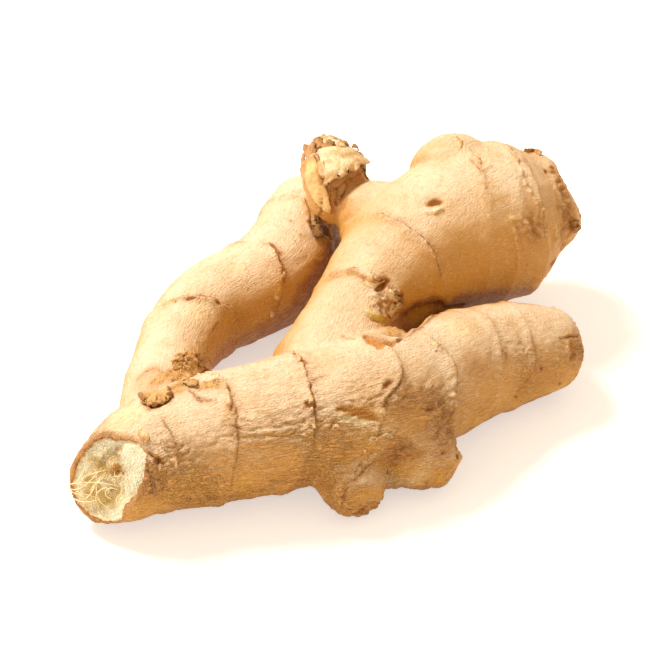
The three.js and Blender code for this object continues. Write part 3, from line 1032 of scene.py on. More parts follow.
def mark_relief(gaps, points):
    relief = 0
    for kind, height in mark_heights(points).items():
        inside, outside = MARK_SLOPES[kind]
        step = height * (1 - smoothstep(inside, outside, gaps[kind]))
        if kind in LIPS:
            lip, away, width = LIPS[kind]
            step = step + lip * np.exp(-((gaps[kind] - away) / width) ** 2)
        relief = relief + step
    return relief

# %% [markdown]
# On the broken end the flesh lies a little lower than the skin round it. It tore along its fibres, so it is
# rough and stringy, with a crack, a pit and a step where one half broke off higher than the other.

# %% Flesh of the broken end
FLESH_DROP, CORE_DROP, PIT_DEPTH, STEP_HEIGHT = 0.75, 0.7, 1.1, 0.5
FLESH_LUMPS = [(0.4, 3.5, 91), (0.2, 1.2, 92)]
STRING_HEIGHT, STRING_LENGTH, STRING_WIDTH = 0.35, 2.6, 0.8
CRACK_RIGHT, CRACK_UP, CRACK_SLANT = -2.8, 1.4, 0.5


def flesh_relief(place, gaps):
    gap = flesh_gap(place.mm)
    right, up = across_break(place.mm)
    height = -FLESH_DROP * smoothstep(0.0, 0.7, gap)
    lumps = sum(amount * rough(place.mm, size, seed) for amount, size, seed in FLESH_LUMPS)
    height += smoothstep(0.6, 2.2, gap) * lumps
    stringy = rough(np.stack([right / STRING_LENGTH, up / STRING_WIDTH, 0 * up], -1), 1.0, 93)
    core = 1 - smoothstep(-3.0, 1.0, gaps[GREEN])
    height += core * (STRING_HEIGHT * stringy - CORE_DROP)
    height -= PIT_DEPTH * (1 - smoothstep(-0.9, 0.3, gaps[OCHRE]))
    past_crack = right - (CRACK_RIGHT + CRACK_SLANT * (up - CRACK_UP))
    raised = smoothstep(-0.4, 0.6, past_crack) * smoothstep(-1.0, 3.0, up) * smoothstep(0.2, 1.6, gap)
    height += STEP_HEIGHT * raised
    return height * smoothstep(-0.15, 0.15, gap) * (rim_gap(place.mm) > 0.3)

# %% [markdown]
# Now all relief is added up and the points are moved. Nothing may sink below the table. The skin is then
# thinned to fewer triangles, which changes its points, so every point's place and marks are found again.

# %% Carve
MOST_TRIANGLES = 197_000


def carve(piece, place):
    height = ring_relief(place) + skin_relief(piece, place) + mark_relief(gaps, place.mm)
    height *= smoothstep(0.2, 1.5, break_depth(place.mm))
    moves = normals_of(piece) * height[:, None] + BREAK_OUT * flesh_relief(place, gaps)[:, None]
    carved = points_of(piece) + moves * MM
    carved[:, 2] = np.maximum(carved[:, 2], 0)
    move_points(piece, carved)
    print("relief from", round(height.min(), 2), "to", round(height.max(), 2), "mm")


carve(skin, place)
triangles = 2 * len(skin.data.polygons)
apply_modifier(skin, "DECIMATE", decimate_type="COLLAPSE", ratio=MOST_TRIANGLES / triangles)
place = Place(points_of(skin))
gaps = mark_gaps(skin, all_marks)
print(len(skin.data.polygons), "faces after thinning")

# %% [markdown]
# ## Telling the material where it is
#
# A material can only know what the mesh tells it. So each point stores how far it is from the nearest ring
# edge, how dark that edge is there, and its coordinates on each straightened finger. Distances are stored
# rather than finished lines, because they blend evenly between points, and the line drawn from them stays
# crisp however coarse the mesh is.

# %% Store what the skin's material needs
FAR_FROM_EDGE = 9.0


def store_rings(piece, place):
    gap = np.full(len(place.mm), FAR_FROM_EDGE)
    dark = np.zeros(len(place.mm))
    for name, rings in RINGS.items():
        for ring in rings:
            past = place.s[name] - of_ring(ring, "ragged", place.angle[name])
            nearer = (np.abs(past) < np.abs(gap)) & (place.share[name] > 0.4)
            gap = np.where(nearer, past, gap)
            strength = of_ring(ring, "strength", place.angle[name]) * ring["dark"]
            dark = np.where(nearer, strength * smoothstep(0.4, 0.7, place.share[name]), dark)
    store(piece, "edge_gap", np.clip(gap, -FAR_FROM_EDGE, FAR_FROM_EDGE))
    store(piece, "edge_dark", dark)


def store_fingers(piece, place):
    for name in LINES:
        word = name.split()[0]
        store(piece, f"along_{word}", place.straight[name])
        store(piece, f"share_{word}", place.share[name])


store_rings(skin, place)
store_fingers(skin, place)
store(skin, "wrinkled", wrinkledness(skin, place))
for kind, gap in gaps.items():
    store(skin, f"{kind}_gap", gap)
store(skin, "flesh_gap", np.clip(flesh_gap(place.mm), -MARK_REACH, MARK_REACH))
print([layer.name for layer in skin.data.attributes if layer.name[0] != "."])

# %% [markdown]
# The skin is painted paler where it faces up, as light from above would make it look, and a deep orange tan
# below and between the fingers, as painted shade. Two values tell where: how much a place faces up, and how
# open it is to the sky. The second is found by casting rays from a few thousand places and counting those
# that get away. Every other place takes the average of the nearest few.

# %% Where light and shade are painted: how each place faces and how open it is
OPENNESS_EVERY, OPENNESS_RAYS, OPENNESS_REACH = 24, 28, 45 * MM
RAY_START, UPRIGHT_PULL = 0.3 * MM, 1.1
NEIGHBOURS, LEAST_APART = 6, 0.5 * MM


def openness(piece):
    points, normals = points_of(piece), normals_of(piece)
    tree = tree_of(piece)
    draw = np.random.default_rng(5)
    rays = draw.normal(size=(OPENNESS_RAYS, 3))
    rays /= np.linalg.norm(rays, axis=1, keepdims=True)
    known = KDTree(len(points) // OPENNESS_EVERY + 1)
    free = []
    for k, i in enumerate(range(0, len(points), OPENNESS_EVERY)):
        start, normal = Vector(points[i]), Vector(normals[i])
        count = 0
        for ray in rays:
            direction = (Vector(ray) + normal * UPRIGHT_PULL).normalized()
            blocked = tree.ray_cast(start + normal * RAY_START, direction, OPENNESS_REACH)[0]
            count += blocked is None and start.z + direction.z * OPENNESS_REACH > 0
        free.append(count / OPENNESS_RAYS)
        known.insert(start, k)
    known.balance()
    spread = []
    for p in points:
        found = known.find_n(Vector(p), NEIGHBOURS)
        weights = [1 / (distance + LEAST_APART) ** 2 for _, _, distance in found]
        spread.append(sum(w * free[k] for w, (_, k, _) in zip(weights, found)) / sum(weights))
    return np.array(spread)


# Painted light: places that face up get a share of the pale colour, as if lit from above.
def dryness(piece, place):
    facing_up = normals_of(piece)[:, 2]
    patchy = 0.16 * rough(points_of(piece) / MM, 16.0, 70) + 0.08 * rough(points_of(piece) / MM, 5.0, 71)
    return smoothstep(0.27, 1.05, facing_up + patchy - 0.1 * place.share["crown"])


open_share = openness(skin)
store(skin, "open", open_share)
store(skin, "dryness", dryness(skin, place))
print("openness from", round(open_share.min(), 2), "to", round(open_share.max(), 2))

# %% [markdown]
# ## The skin's material
#
# Ginger skin is a thin, dry, papery layer over moist flesh. Its colour shifts between cream and tan, with
# fine fibres along the finger, and it is brown at the ring edges. The nodes are added by a few small helpers,
# so that each finish reads like a list of what it is made of.

# %% Node helpers
class Nodes:
    """Builds a material node by node; a socket, a number or a colour can be passed anywhere."""

    def __init__(self, name):
        self.material = bpy.data.materials.new(name)
        self.material.use_nodes = True
        self.tree = self.material.node_tree
        self.shader = self.tree.nodes["Principled BSDF"]
        self.here = self.add("TexCoord", out="Object")

    def add(self, kind, inputs=(), out=0, **settings):
        node = self.tree.nodes.new("ShaderNode" + kind)
        for name, value in settings.items():
            setattr(node, name, value)
        for socket, value in dict(inputs).items():
            self.feed(node.inputs[socket], value)
        return node.outputs[out]

    def feed(self, socket, value):
        if isinstance(value, bpy.types.NodeSocket):
            self.tree.links.new(value, socket)
        else:
            socket.default_value = value

    def attribute(self, name, out="Fac"):
        return self.add("Attribute", out=out, attribute_name=name)

    def math(self, operation, a, b=0.0, c=0.0):
        return self.add("Math", {0: a, 1: b, 2: c}, operation=operation)

    def ramp(self, value, low, high, to_low=0.0, to_high=1.0):
        inputs = {"Value": value, "From Min": low, "From Max": high, "To Min": to_low, "To Max": to_high}
        return self.add("MapRange", inputs, interpolation_type="SMOOTHSTEP")

    def mix(self, share, a, b):
        return self.add("Mix", {0: share, 6: a, 7: b}, out=2, data_type="RGBA")

    def blend(self, share, a, b):
        return self.add("Mix", {0: share, 2: a, 3: b}, out=0, data_type="FLOAT")

    def noise(self, size, detail=3.0, rough=0.55):
        """Noise in lumps of that many mm."""
        inputs = {"Vector": self.here, "Scale": 1 / (size * MM), "Detail": detail, "Roughness": rough}
        return self.add("TexNoise", inputs)

    def stretched(self, place, stretch, detail=3.0, rough=0.5):
        """Noise on coordinates that are first multiplied by a stretch along each axis."""
        scaled = self.add("VectorMath", {0: place, 1: stretch}, operation="MULTIPLY")
        return self.add("TexNoise", {"Vector": scaled, "Scale": 1.0, "Detail": detail, "Roughness": rough})

    def streaks(self, length, width, detail=3.0):
        """Noise in streaks along the fingers, of that length and width in mm."""
        stretch = (1 / length, 1 / width, 1 / width)
        stem, back, crown = (self.stretched(self.attribute(f"along_{word}", "Vector"), stretch, detail, 0.6)
                             for word in ("stem", "back", "crown"))
        both = self.blend(self.attribute("share_back"), stem, back)
        return self.blend(self.attribute("share_crown"), both, crown)

    def finish(self, colour, height, bump=1.0, **sockets):
        for name, value in sockets.items():
            self.feed(self.shader.inputs[name.replace("_", " ")], value)
        self.feed(self.shader.inputs["Base Color"], colour)
        if height is not None:
            normal = self.add("Bump", {"Strength": bump, "Distance": MM, "Height": height})
            self.feed(self.shader.inputs["Normal"], normal)
        return self.material


def rgb(red, green, blue):
    """A colour as a colour picker shows it, turned into the values that light is reckoned in."""
    parts = [value / 255 for value in (red, green, blue)]
    return [p / 12.92 if p <= 0.04045 else ((p + 0.055) / 1.055) ** 2.4 for p in parts] + [1.0]


print("a middle grey is reckoned as", round(rgb(128, 128, 128)[0], 2))

# %% [markdown]
# The skin's colours come first, and the noises that several of its layers share: grit and lumps of about half
# a millimetre and of one and a half, fibres and creases along the fingers, and an uneven distance that makes
# every outline ragged.

# %% The skin's colours
# The first colour is light painted on places that face up; the third and fourth are shade painted on sheltered
# and deep places.
PAINTED_LIGHT_PALE, TAN, PAINTED_SHADE_ORANGE, PAINTED_DEEP_SHADE = rgb(240, 214, 182), rgb(211, 153, 76), rgb(210, 148, 38), rgb(140, 70, 6)
STRAW, FLESH, CREAM = rgb(246, 218, 166), rgb(255, 242, 206), rgb(252, 226, 178)
FLESH_GREEN, FLESH_OCHRE, RIM_PINK = rgb(200, 160, 72), rgb(196, 128, 28), rgb(232, 192, 140)
RING_BROWN, DRY_BROWN, DARK_BROWN = rgb(162, 98, 38), rgb(186, 126, 62), rgb(100, 56, 20)
# The stain tan colours real stains, and also shade painted beside folds and dents.
STAIN_AND_SHADE_TAN, CORK_BROWN, GROOVE_BROWN = rgb(206, 142, 72), rgb(172, 120, 68), rgb(204, 134, 46)
CRUST_GOLD, CRUST_SHADE, BUD_YELLOW = rgb(222, 172, 102), rgb(176, 118, 56), rgb(216, 196, 70)
# The crevice brown is shade painted into crevices and folds.
CREVICE_PAINTED_SHADE = rgb(158, 84, 18)


class SkinNodes(Nodes):
    def __init__(self):
        super().__init__("skin")
        self.grit = self.noise(0.55, 3.0, 0.7)
        self.lumps = self.noise(1.5, 3.0, 0.6)
        self.fibres = self.streaks(1.6, 0.3, 2.0)
        off_middle = self.math("SUBTRACT", self.streaks(3.4, 0.8, 2.0), 0.5)
        pillows = self.ramp(self.math("ABSOLUTE", off_middle), 0.0, 0.11)
        self.creases = self.math("MULTIPLY", self.math("SUBTRACT", 1.0, pillows), self.attribute("wrinkled"))
        self.ragged = self.math("MULTIPLY_ADD", self.grit, 0.9, -0.45)
        self.torn = self.math("ADD", self.ragged, self.math("MULTIPLY_ADD", self.lumps, 1.8, -0.9))

# %% [markdown]
# Bare skin is layered like paint. Places that face up are painted pale as if lit, sheltered ones get a painted
# orange shade and the deepest ones a painted brown shade. Over that lie painted highlights, tan mottles, pale
# fibres, and brown grit and creases. The line along each ring is drawn from the stored distance, with a stain
# and flecks beside it.

# %% Bare skin and rings
def bare_skin(n):
    mottle = n.noise(9.0, 4.0)
    # Painted light: the skin is paler where it faces up.
    colour = n.mix(n.attribute("dryness"), TAN, PAINTED_LIGHT_PALE)
    # Painted shade: places hidden from the sky turn orange, and the deepest ones brown.
    colour = n.mix(n.ramp(n.attribute("open"), 0.25, 0.85, 0.95, 0.0), colour, PAINTED_SHADE_ORANGE)
    colour = n.mix(n.ramp(n.attribute("open"), 0.05, 0.35, 0.9, 0.0), colour, PAINTED_DEEP_SHADE)
    # Painted highlights: cream laid over the pale strokes.
    colour = n.mix(n.ramp(n.attribute("bleach_gap"), -3.5, 3.0, 0.75, 0.0), colour, CREAM)
    colour = n.mix(n.ramp(mottle, 0.4, 0.7, 0.0, 0.3), colour, TAN)
    colour = n.mix(n.ramp(n.fibres, 0.5, 0.75, 0.0, 0.35), colour, STRAW)
    colour = n.mix(n.math("MULTIPLY", n.creases, 0.45), colour, DRY_BROWN)
    colour = n.mix(n.ramp(n.grit, 0.56, 0.74, 0.0, 0.45), colour, DRY_BROWN)
    return n.mix(n.ramp(n.lumps, 0.5, 0.72, 0.0, 0.3), colour, STAIN_AND_SHADE_TAN)


def ring_colours(n, colour):
    gap = n.math("ABSOLUTE", n.math("MULTIPLY_ADD", n.torn, 0.45, n.attribute("edge_gap")))
    dark = n.attribute("edge_dark")
    line = n.ramp(n.math("MULTIPLY_ADD", n.lumps, 1.5, gap), 0.88, 1.14, 1.0, 0.0)
    stain = n.math("MULTIPLY", n.ramp(gap, 0.2, 2.6, 0.6, 0.0), n.ramp(n.lumps, 0.42, 0.6))
    flecks = n.math("MULTIPLY", n.ramp(gap, 0.5, 3.5, 1.0, 0.0), n.ramp(n.grit, 0.6, 0.68))
    colour = n.mix(n.math("MULTIPLY", stain, dark), colour, DRY_BROWN)
    colour = n.mix(n.math("MULTIPLY", flecks, dark), colour, RING_BROWN)
    return n.mix(n.math("MULTIPLY", line, n.ramp(dark, 0.1, 0.8)), colour, RING_BROWN)

# %% [markdown]
# The marks are a list of layers, laid one over the other in this order. Each says the kind of mark, the noise
# that makes its outline ragged and by how much, the distances in mm from its edge at which it is all there
# and gone, how strong it is, the patches it keeps to if any, and its tint.

# %% The colours of the marks
def mark_colours(n, colour):
    browns = n.mix(n.ramp(n.lumps, 0.35, 0.65), STAIN_AND_SHADE_TAN, DRY_BROWN)
    golds = n.mix(n.ramp(n.torn, -0.45, 0.1), CRUST_SHADE, CRUST_GOLD)
    cork_lumps = n.ramp(n.lumps, 0.35, 0.6)
    cork_grit = n.ramp(n.grit, 0.58, 0.7, 0.0, 0.7)
    ridge_lumps = n.ramp(n.lumps, 0.4, 0.55)
    layers = [
        (DRY, n.torn, 1.0, (-0.4, 0.5), 0.75, None, DRY_BROWN),
        # Stains: real brown stains, and also soft shade painted beside folds and dents.
        (STAIN_AND_SHADE, n.torn, 2.0, (-3.0, 1.5), 0.5, None, browns),
        (CORK, n.torn, 2.0, (-2.5, 1.0), 0.75, cork_lumps, CORK_BROWN),
        (CORK, n.torn, 2.0, (-2.5, 1.0), 0.75, cork_grit, RING_BROWN),
        (CRUST, n.torn, 1.0, (-0.8, 0.4), 0.9, None, golds),
        (RIDGE, n.torn, 0.8, (-0.5, 0.3), 0.45, ridge_lumps, STRAW),
        (GROOVE, n.ragged, 0.7, (-0.4, 0.3), 0.85, None, GROOVE_BROWN),
        (BUD_SKIN, n.ragged, 0.5, (-0.3, 0.15), 0.9, None, BUD_YELLOW),
        (PEEL, n.torn, 0.6, (-0.1, 0.12), 0.8, None, CREAM),
        # Painted shade: crevices are darkened inside and along their edges.
        (CREVICE, n.torn, 0.6, (-0.3, 1.0), 0.7, None, RING_BROWN),
        (CREVICE, n.torn, 0.6, (-0.9, 0.0), 1.0, None, CREVICE_PAINTED_SHADE),
        (DARK, n.torn, 0.6, (-0.1, 0.9), 0.5, None, DRY_BROWN),
        (DARK, n.torn, 0.6, (-0.25, 0.1), 0.9, None, RING_BROWN),
        (DARK, n.torn, 0.6, (-1.1, -0.35), 1.0, None, DARK_BROWN),
    ]
    for kind, noise_in_mm, amount, (inside, outside), strength, patches, tint in layers:
        gap = n.math("MULTIPLY_ADD", noise_in_mm, amount, n.attribute(f"{kind}_gap"))
        share = n.ramp(gap, inside, outside, strength, 0.0)
        if patches is not None:
            share = n.math("MULTIPLY", share, patches)
        colour = n.mix(share, colour, tint)
    return colour

# %% [markdown]
# On the broken end the skin darkens towards its torn edge, and then gives way to the flesh, which is pinkish
# at the rim, cream further in, and green and ochre where it is marked so. Last comes the relief that is too
# fine for the mesh: the bump map turns it into shading.

# %% Flesh, and the finest relief
def flesh_colours(n, colour):
    rim = n.math("MULTIPLY_ADD", n.torn, 0.6, n.attribute("flesh_gap"))
    browns = n.mix(n.ramp(n.lumps, 0.4, 0.6), STAIN_AND_SHADE_TAN, DRY_BROWN)
    colour = n.mix(n.ramp(rim, -2.6, 0.0, 0.0, 0.7), colour, browns)
    colour = n.mix(n.ramp(rim, -0.3, -0.05, 0.0, n.ramp(n.lumps, 0.4, 0.6, 0.25, 1.0)), colour, RING_BROWN)
    flesh = n.mix(n.ramp(rim, 0.1, 0.9), RIM_PINK, FLESH)
    flesh = n.mix(n.ramp(n.grit, 0.55, 0.8, 0.0, 0.15), flesh, FLESH_GREEN)
    green = n.ramp(n.math("MULTIPLY_ADD", n.torn, 2.5, n.attribute("green_gap")), -2.5, 2.2, 0.9, 0.0)
    flesh = n.mix(green, flesh, FLESH_GREEN)
    ochre = n.ramp(n.math("MULTIPLY_ADD", n.torn, 0.7, n.attribute("ochre_gap")), -0.5, 0.4, 0.85, 0.0)
    flesh = n.mix(ochre, flesh, FLESH_OCHRE)
    return n.mix(n.ramp(rim, 0.1, 0.3), colour, flesh)


def fine_relief(n):
    grain = n.ramp(n.noise(0.7, 2.0, 0.6), 0.3, 0.7)
    threads = n.ramp(n.streaks(3.2, 0.42, 2.0), 0.33, 0.67)
    height = n.math("MULTIPLY", n.fibres, 0.25)
    for bumps, amount in ((n.creases, -0.4), (n.lumps, 0.45), (n.grit, 0.36), (grain, 0.06), (threads, 0.08)):
        height = n.math("MULTIPLY_ADD", bumps, amount, height)
    return height


def skin_finish():
    n = SkinNodes()
    colour = flesh_colours(n, mark_colours(n, ring_colours(n, bare_skin(n))))
    return n.finish(colour, fine_relief(n), 1.0, Roughness=0.5, Specular_IOR_Level=0.4,
                    Subsurface_Weight=0.08, Subsurface_Scale=1.5 * MM, Subsurface_Radius=(1.0, 0.6, 0.25))


skin.data.materials.append(skin_finish())
select_only(skin)
bpy.ops.object.shade_smooth()
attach(skin, "root")
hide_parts("rhizome")
print("skin material has", len(skin.data.materials[0].node_tree.nodes), "nodes")

# %% [markdown]
# ## Papery scales
#
# What is left of the scale leaves are thin, dry flaps that stand off the skin. Each one starts as a grid. One
# side of the grid is laid along a finger and the other round it, and every point is pressed onto the skin and
# then lifted off it by a set amount, so that the root of the flap is buried and its free edge stands proud.
# The free edges are torn by noise, and a Solidify modifier gives the paper its thickness.

# %% Helpers for scales
SCALE_REACH = 1.35
FEWEST_STEPS, SHRED_DETAIL = 4, 0.4


def press_on(tree, line, s, angle, lift):
    """Points of the skin straight out from the line at each distance and angle, lifted off it; all in mm."""
    centre, _, side, up, radius = line.at(s.ravel())
    out = side * np.cos(angle.ravel())[:, None] + up * np.sin(angle.ravel())[:, None]
    spots = []
    for start, direction, height, far in zip(centre * MM, out, lift.ravel() * MM, radius * MM):
        hit = tree.ray_cast(Vector(start), Vector(direction), SCALE_REACH * far)
        far = hit[3] if hit[0] is not None else far
        spots.append(Vector(start) + Vector(direction) * (far + height))
    return np.array(spots) / MM


def scale_grid(name, length, width, detail):
    """A flat grid with faces of about detail mm, and each point's share of the length and the width."""
    steps = [max(FEWEST_STEPS, round(side / detail)) for side in (length, width)]
    bpy.ops.object.select_all(action="DESELECT")
    bpy.ops.mesh.primitive_grid_add(x_subdivisions=steps[0], y_subdivisions=steps[1], size=2)
    flap = bpy.context.object
    flap.name = name
    spots = points_of(flap)
    return flap, (spots[:, 0] + 1) / 2, (spots[:, 1] + 1) / 2


def trim(piece, away):
    """Deletes the marked points of a piece in edit mode."""
    select_only(piece)
    bpy.ops.object.mode_set(mode="EDIT")
    bpy.ops.mesh.select_mode(type="VERT")
    bpy.ops.mesh.select_all(action="DESELECT")
    bpy.ops.object.mode_set(mode="OBJECT")
    piece.data.vertices.foreach_set("select", away)
    bpy.ops.object.mode_set(mode="EDIT")
    bpy.ops.mesh.delete(type="VERT")
    bpy.ops.object.mode_set(mode="OBJECT")


def finish_scale(flap, sheet, edge_mm, thick):
    """Stores the flap's sheet of paper and its distance to the torn edge, then trims and thickens it."""
    store(flap, "paper", sheet)
    store(flap, "free_edge", np.clip(edge_mm, -1, 6))
    trim(flap, edge_mm < 0)
    apply_modifier(flap, "SOLIDIFY", thickness=thick * MM, offset=0.0)
    select_only(flap)
    bpy.ops.object.shade_smooth()
    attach(flap, "root")
    return flap


def join(pieces, name):
    select_only(pieces[0])
    for piece in pieces:
        piece.select_set(True)
    bpy.ops.object.join()
    bpy.context.object.name = name
    return bpy.context.object

# %% [markdown]
# There are three kinds of flap. One goes along and round a growth line, for the flakes at the rings and the
# bud's sides. One lies on the skin between two edges that are given as places. The third is a torn strip that
# stands up and bends over. All three are wavy and torn by seeded noise.

# %% Three kinds of flap
def scale_flap(name, tree, line, along, around, lift, curl=0.0, thick=0.3, torn=1.0, detail=0.45, seed=1):
    """A dry flap on a finger, from along[0] to its free edge at along[1], between two angles in degrees.

    lift gives its height in mm over the skin at the root and at the free edge, and curl raises it further
    near its long sides. torn is how ragged it is, and thick is the paper's thickness in mm."""
    turn, length = math.radians(abs(around[1] - around[0])), abs(along[1] - along[0])
    wide = turn * float(np.interp(along[0], line.s, line.radius))
    flap, u, v = scale_grid(name, length, wide, detail)
    s = along[0] + (along[1] - along[0]) * u
    angle = np.radians(around[0] + (around[1] - around[0]) * v)
    sheet = np.stack([s, angle * wide / turn, 0 * s], -1)
    wavy = 0.35 * rough(sheet, 3.0, seed) + 0.12 * rough(sheet, 1.0, seed + 1)
    side = np.abs(2 * v - 1)
    height = lift[0] + (lift[1] - lift[0]) * u**1.5 + curl * side**3 * u + wavy * np.minimum(1, 2 * u)
    move_points(flap, press_on(tree, line, s, angle, height) * MM)
    notches = 0.16 + 0.2 * rough(sheet * [0, 1, 1], 1.7, seed + 2) + 0.1 * rough(sheet, 0.7, seed + 3)
    tear = 1 - 0.5 * side**4 - torn * notches
    margin = torn * (0.25 + 0.4 * rough(sheet * [1, 0, 1], 1.1, seed + 5)) * (1 + 3 * u)
    past_side = (1 - side) * wide / 2 - margin
    return finish_scale(flap, sheet, np.minimum((tear - u) * length, past_side), thick)


def spread_out(corners, share):
    """Points along a line of corners, at shares of its length from 0 to 1."""
    corners = np.array(corners, float)
    ends = np.concatenate([[0], np.cumsum(np.linalg.norm(np.diff(corners, axis=0), axis=1))])
    return np.stack([np.interp(share * ends[-1], ends, corners[:, k]) for k in range(3)], -1)


def scale_between(name, tree, root, free, lift, thick=0.3, torn=0.6, crumple=1.0, detail=0.4, seed=1):
    """A dry scale that lies on the skin from its root edge to its free edge, both given as places in mm."""
    length = np.linalg.norm(np.mean(root, 0) - np.mean(free, 0))
    wide = np.linalg.norm(np.diff(np.array(free), axis=0), axis=1).sum()
    flap, u, v = scale_grid(name, length, wide, detail)
    sheet = np.stack([u * length, v * wide, 0 * u], -1)
    flat = spread_out(root, v) * (1 - u[:, None]) + spread_out(free, v) * u[:, None]
    wavy = crumple * (0.3 * rough(sheet, 3.0, seed) + 0.14 * rough(sheet, 1.1, seed + 1))
    height = lift[0] + (lift[1] - lift[0]) * u**1.4 + wavy * np.minimum(1, 2 * u)
    spots = []
    for spot, up in zip(flat * MM, height * MM):
        place, normal, _, _ = tree.find_nearest(Vector(spot))
        spots.append(place + normal * up)
    move_points(flap, np.array(spots))
    notches = 0.1 + 0.16 * rough(sheet * [0, 1, 1], 1.8, seed + 2) + 0.07 * rough(sheet, 0.7, seed + 3)
    tear = 1 - torn * notches
    margin = torn * (0.7 + 0.5 * rough(sheet * [1, 0, 1], 1.5, seed + 4))
    past_side = np.minimum(v, 1 - v) * wide - margin
    return finish_scale(flap, sheet, np.minimum((tear - u) * length, past_side), thick)


def shred(name, base, out, growth, length, width, lean, thick=0.25, seed=1):
    """A torn strip that stands on the root at base, along the growth direction, bent over by lean."""
    flap, u, v = scale_grid(name, length, width, SHRED_DETAIL)
    across = np.cross(growth, out)
    sheet = np.stack([u * length, v * width, 0 * u], -1)
    wavy = 0.25 * rough(sheet, 2.2, seed)
    cup = 0.35 * width * ((2 * v - 1) ** 2 - 0.4)
    points = np.array(base) + np.outer(u * length, growth) + np.outer((v - 0.5) * width, across)
    points += np.outer(lean * u**2 * length - cup + wavy, out)
    move_points(flap, points * MM)
    tear = 0.82 + 0.3 * rough(sheet * [0, 1, 1], 1.2, seed + 2) + 0.14 * rough(sheet, 0.6, seed + 3)
    margin = 0.25 + 0.35 * rough(sheet * [1, 0, 1], 1.3, seed + 4) + 0.25 * width * u**3
    past_side = np.minimum(v, 1 - v) * width - margin
    return finish_scale(flap, sheet, np.minimum((tear - u) * length, past_side), thick)

# %% [markdown]
# Dry paper is paler than the skin in the middle and browner towards its torn edge, with veins along the
# growth. One function makes it in several tints: pale, yellow and brown for the bud, gold for the corners,
# and dark for the holes.

# %% The scales' material
VEIN_STRETCH = (0.25, 2.2, 1.0)


def paper_finish(name, middle, edge, edge_width=1.2, relief=0.9):
    n = Nodes(name)
    veins = n.stretched(n.attribute("paper", "Vector"), VEIN_STRETCH)
    grit = n.noise(0.6, 3.0, 0.7)
    blotch = n.noise(2.6, 3.0)
    colour = n.mix(n.ramp(veins, 0.45, 0.75, 0.0, 0.35), middle, edge)
    colour = n.mix(n.ramp(blotch, 0.45, 0.7, 0.0, 0.6), colour, edge)
    edge_gap = n.math("MULTIPLY_ADD", grit, 1.4, n.attribute("free_edge"))
    colour = n.mix(n.ramp(edge_gap, 0.5, 0.6 + edge_width, 1.0, 0.0), colour, edge)
    colour = n.mix(n.ramp(edge_gap, 0.35, 0.75, 0.8, 0.0), colour, RING_BROWN)
    height = n.math("MULTIPLY", grit, 0.35)
    for bumps, amount in ((blotch, 0.7), (veins, 0.22)):
        height = n.math("MULTIPLY_ADD", bumps, amount, height)
    return n.finish(colour, height, relief, Roughness=0.5, Specular_IOR_Level=0.4, Subsurface_Weight=0.1,
                    Subsurface_Scale=1.0 * MM, Subsurface_Radius=(1.0, 0.5, 0.2))


PAPERS = {
    "pale": paper_finish("pale_paper", rgb(244, 216, 170), rgb(200, 138, 70), 1.5),
    "yellow": paper_finish("yellow_paper", rgb(230, 188, 122), rgb(182, 118, 52), 1.6, 0.4),
    "brown": paper_finish("brown_paper", rgb(190, 138, 80), rgb(136, 88, 42)),
    "gold": paper_finish("gold_paper", rgb(214, 164, 96), rgb(160, 102, 46), 0.9),
    "dark": paper_finish("dark_paper", rgb(168, 118, 62), rgb(108, 68, 30)),
}
print(len(PAPERS), "kinds of paper")

# %% [markdown]
# ## The dried bud
#
# Between the crown and the back finger sits a bud that dried before it could grow. Brown granular tissue
# fills it, and scales wrap it: a smooth yellow one down its left side, a pale one over its top with brown
# ones under it, and two behind. Shreds of more scales stand in circles round its tip. A scale's row has its
# name, its paper, its root edge and its free edge in spots of the frame, and its own settings. A shred's row
# has its angle round the bud, its distance along it, its length and width in mm, and how it leans.

# %% Wrap the bud
BUD = GrowthLine([(-2.2, 31.5, 31, 4.6), (-2.2, 36, 34.3, 7), (-1.6, 40.5, 37.3, 8.8), (-1.7, 45, 39.3, 8.2),
                  (-3.5, 50, 41, 4.3)])
BUD_SCALES = [
    ("bud_yellow_scale", "yellow", [(306, 162), (306, 174), (308, 186), (314, 199), (327, 213)],
     [(316, 154), (321, 166), (325, 180), (331, 193), (333, 214)],
     {"lift": (0.1, 0.7), "torn": 0.1, "crumple": 0.5}),
    ("bud_pale_scale", "pale", [(318, 156), (323, 150), (331, 148), (342, 149), (353, 152), (364, 159)],
     [(324, 189), (329, 187), (336, 181), (349, 173), (359, 168), (367, 162)],
     {"lift": (0.4, 1.6), "torn": 0.45}),
    ("bud_inner_scale", "brown", [(324, 181), (334, 177), (346, 170), (358, 165), (366, 160)],
     [(329, 197), (337, 189), (347, 182), (357, 177), (366, 171)],
     {"lift": (0.0, 0.25), "torn": 1.0}),
    ("bud_lower_scale", "brown", [(334, 187), (341, 184), (349, 180)],
     [(334, 204), (340, 200), (346, 190)],
     {"lift": (0.1, 0.6), "torn": 1.0}),
]
SIDE_SCALES = [
    ("bud_side_scale_1", "pale", (19, 6), (22, -62)),
    ("bud_side_scale_2", "yellow", (18, 5), (205, 298)),
]
